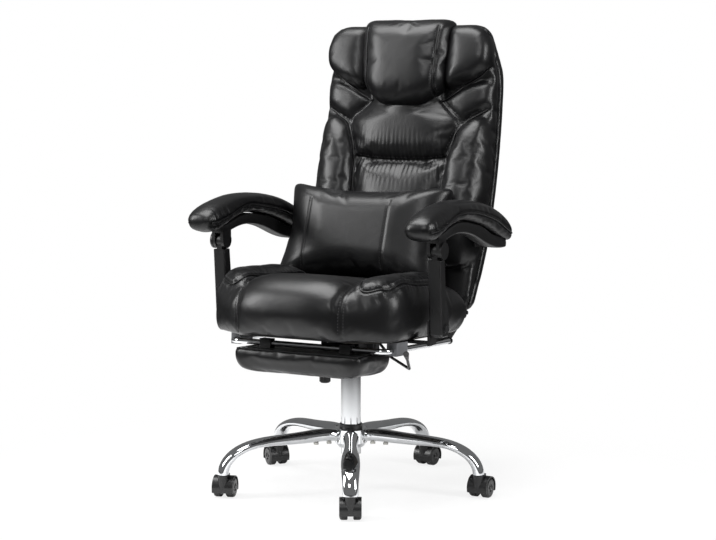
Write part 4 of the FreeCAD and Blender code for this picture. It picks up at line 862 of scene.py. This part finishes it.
def make_pillows():
    head = pad("head_pillow_cover", ["head_pillow"], "back", voxel=0.005, rounds=6, fill=0.85,
               sewn_to=["back_foam"], pressure=3.5, spare=0.02, cap=0.008)
    shape_head_pillow(head)
    gussets = pillow_rows("head_pillow_cover", 0.985, 1.172, [(0.90, 0.86), (0.10, 0.14)])
    sink(head, gussets, depth=0.002, reach=0.005)
    pipe_all("head_pillow_piping", gussets, "head_pillow_cover", height=0.0012, radius=0.0022)
    stitches("head_pillow_stitches", rows_beside(gussets, -0.008, 0.008), "head_pillow_cover")

    lumbar = pad("lumbar_pillow_cover", ["lumbar_pillow"], "back", voxel=0.006, rounds=6, fill=0.8,
                 sewn_to=["back_foam"], pressure=4.0, spare=0.03, cap=0.010)
    shape_lumbar_pillow(lumbar)
    seams = pillow_rows("lumbar_pillow_cover", 0.545, 0.728, [(0.215, 0.205), (0.70, 0.69)])
    sink(lumbar, seams, depth=0.0016, reach=0.0035)
    stitches("lumbar_stitches", rows_beside(seams, 0.005), "lumbar_pillow_cover")


# The arms and the footrest

ARM_END_INSET = 0.012
ARM_STEPS = 70
ARM_SLICE = 0.004
ARM_SEAM_DROP = 0.006
ARM_SEAM_REACH = 0.05
ARM_SEAM_ROUNDS = 8
ARM_STITCH_ASIDE = 0.007
# How many points of an arm's seam, from its front, have folds
ARM_GATHERED = 12


def widest_line(cover, sign):
    """The line along a long pad's side, a little under where it is widest."""
    co = points_of(pads[cover][0].data)
    low, high = co[:, 1].min() + ARM_END_INSET, co[:, 1].max() - ARM_END_INSET
    line = []
    for step in range(ARM_STEPS):
        y = low + (high - low) * step / (ARM_STEPS - 1)
        ring = co[np.abs(co[:, 1] - y) < ARM_SLICE]
        if len(ring):
            point = ring[np.argmax(ring[:, 0] * sign)]
            line.append(Vector((point[0], y, point[2] - ARM_SEAM_DROP)))
    tree = cover_tree(cover)
    found = [tree.find_nearest(point, ARM_SEAM_REACH)[0] for point in steady(line, ARM_SEAM_ROUNDS)]
    return steady([spot for spot in found if spot is not None], TRACE_ROUNDS)


def make_arm_pads():
    for side in ("left", "right"):
        name = "arm_pad_cover_" + side
        piece = pad(name, ["arm_pad_" + side], "arm_" + side, voxel=0.005, rounds=5, fill=0.85,
                    sewn_to=["arm_bar_" + side], pressure=3.0, spare=0.025, cap=0.006)
        lines = [widest_line(name, sign) for sign in (1, -1)]
        fronts = [line[:ARM_GATHERED] for line in lines]
        gather(piece, fronts, pitch=0.011, depth=0.0010, reach=0.024, seed=31)
        sink(piece, lines, depth=0.0022, reach=0.005)
        pipe_all("arm_piping_" + side, lines, name, height=0.001, radius=0.0021)
        rows = [(line, ARM_STITCH_ASIDE * sign) for line, sign in zip(lines, (1, -1))]
        stitches("arm_stitches_" + side, rows, name)


def make_footrest():
    pad("footrest_cover", ["footrest_pad"], "footrest", voxel=0.005, rounds=4, fill=0.85,
        sewn_to=["footrest_plate"], pressure=3.0, spare=0.004, cap=0.005)


# Floor, surround, lights and camera

WHITE = (1, 1, 1, 1)
FLOOR_REACH = 40.0
# The surround's level as light on the object, and as what shiny surfaces show of it
DIFFUSE_LEVEL = 0.30
GLOSSY_LEVEL = 0.19
AIM = (0, 0, 0.7)
# Each softbox has its place, width, height and watts
SOFTBOXES = {
    "overhead_softbox": ((-0.3, -0.5, 2.9), 2.2, 1.6, 105),
    "left_softbox": ((-2.3, -1.9, 1.9), 0.9, 1.9, 85),
    "front_softbox": ((0.9, -3.2, 2.6), 1.0, 0.8, 26),
    "right_softbox": ((2.7, -0.2, 1.6), 0.6, 1.7, 50),
}


def make_floor():
    """A pale floor that the camera sees turn white with distance from the chair.

    Its colour turns grey further out, a painted shade for the dim floor far from the lamps, so that
    bright metal has something dark to show."""
    mesh = bpy.data.meshes.new("studio_floor")
    corners = ((-1, -1), (1, -1), (1, 1), (-1, 1))
    mesh.from_pydata([(x * FLOOR_REACH, y * FLOOR_REACH, 0) for x, y in corners],
                     [], [(0, 1, 2, 3)])
    floor = bpy.data.objects.new("studio_floor", mesh)
    scene.collection.objects.link(floor)
    material = bpy.data.materials.new("floor_with_painted_shade")
    tree = empty_tree(material)
    place = add(tree, "ShaderNodeTexCoord").outputs["Object"]
    distance = add(tree, "ShaderNodeVectorMath", {0: place}, operation="LENGTH").outputs["Value"]
    # Painted shade: the floor's colour goes from pale near the chair to grey between 0.7 and 1.8 m
    # out
    painted_shade_out = add(tree, "ShaderNodeMapRange", {"Value": distance, "From Min": 0.7, "From Max": 1.8})
    paint_with_painted_shade = add(tree, "ShaderNodeMix", {"Factor": painted_shade_out.outputs["Result"]}, data_type="RGBA")
    paint_with_painted_shade.inputs["A"].default_value = linear("#f4f4f4")
    paint_with_painted_shade.inputs["B"].default_value = linear("#4a4a4a")
    floor_diffuse = add(tree, "ShaderNodeBsdfDiffuse", {"Color": paint_with_painted_shade.outputs["Result"]})
    white = add(tree, "ShaderNodeEmission", {"Color": WHITE, "Strength": 1.0})
    fade = add(tree, "ShaderNodeMapRange", {
        "Value": distance, "From Min": 0.35, "From Max": 1.1, "To Min": 0.80, "To Max": 1.0,
    }, interpolation_type="SMOOTHSTEP")
    seen = add(tree, "ShaderNodeLightPath").outputs["Is Camera Ray"]
    share = add(tree, "ShaderNodeMath", {0: fade.outputs["Result"], 1: seen}, operation="MULTIPLY")
    mix = add(tree, "ShaderNodeMixShader", {
        0: share.outputs[0], 1: floor_diffuse.outputs["BSDF"], 2: white.outputs["Emission"],
    })
    add(tree, "ShaderNodeOutputMaterial", {"Surface": mix.outputs["Shader"]})
    mesh.materials.append(material)


def make_surround():
    """A surround that the camera sees white, and that lights the object more faintly."""
    world = bpy.data.worlds.new("white_studio")
    scene.world = world
    tree = empty_tree(world)
    rays = add(tree, "ShaderNodeLightPath")
    seen = add(tree, "ShaderNodeMath", {
        0: rays.outputs["Is Camera Ray"], 1: rays.outputs["Is Transmission Ray"],
    }, operation="MAXIMUM")
    dim = add(tree, "ShaderNodeMapRange", {
        "Value": rays.outputs["Is Glossy Ray"], "To Min": DIFFUSE_LEVEL, "To Max": GLOSSY_LEVEL,
    })
    level = add(tree, "ShaderNodeMapRange", {
        "Value": seen.outputs[0], "To Min": dim.outputs["Result"], "To Max": 1.0,
    })
    sky = add(tree, "ShaderNodeBackground", {"Color": WHITE, "Strength": level.outputs["Result"]})
    add(tree, "ShaderNodeOutputWorld", {"Surface": sky.outputs["Background"]})


def make_lights():
    for name, (place, width, height, power) in SOFTBOXES.items():
        light = bpy.data.lights.new(name, "AREA")
        light.shape = "RECTANGLE"
        light.size = width
        light.size_y = height
        light.energy = power
        item = bpy.data.objects.new(name, light)
        item.location = place
        item.rotation_euler = (Vector(AIM) - Vector(place)).to_track_quat("-Z", "Y").to_euler()
        scene.collection.objects.link(item)


def make_camera():
    """The photograph's view: 4.3 m off, a little above the seat, 28 degrees to the side."""
    camera = bpy.data.objects.new("camera", bpy.data.cameras.new("camera"))
    camera.data.sensor_width = 36.0
    camera.data.lens = 87.13
    camera.location = (2.0438, -3.8059, 1.0255)
    camera.rotation_euler = (math.radians(90 - 6.17), 0, math.radians(28))
    scene.collection.objects.link(camera)
    scene.camera = camera


scene.view_settings.view_transform = "Standard"
dress_frame()
make_seat()
make_back()
make_pillows()
make_arm_pads()
make_footrest()
finish_pads()
make_floor()
make_surround()
make_lights()
make_camera()

bpy.context.view_layer.update()
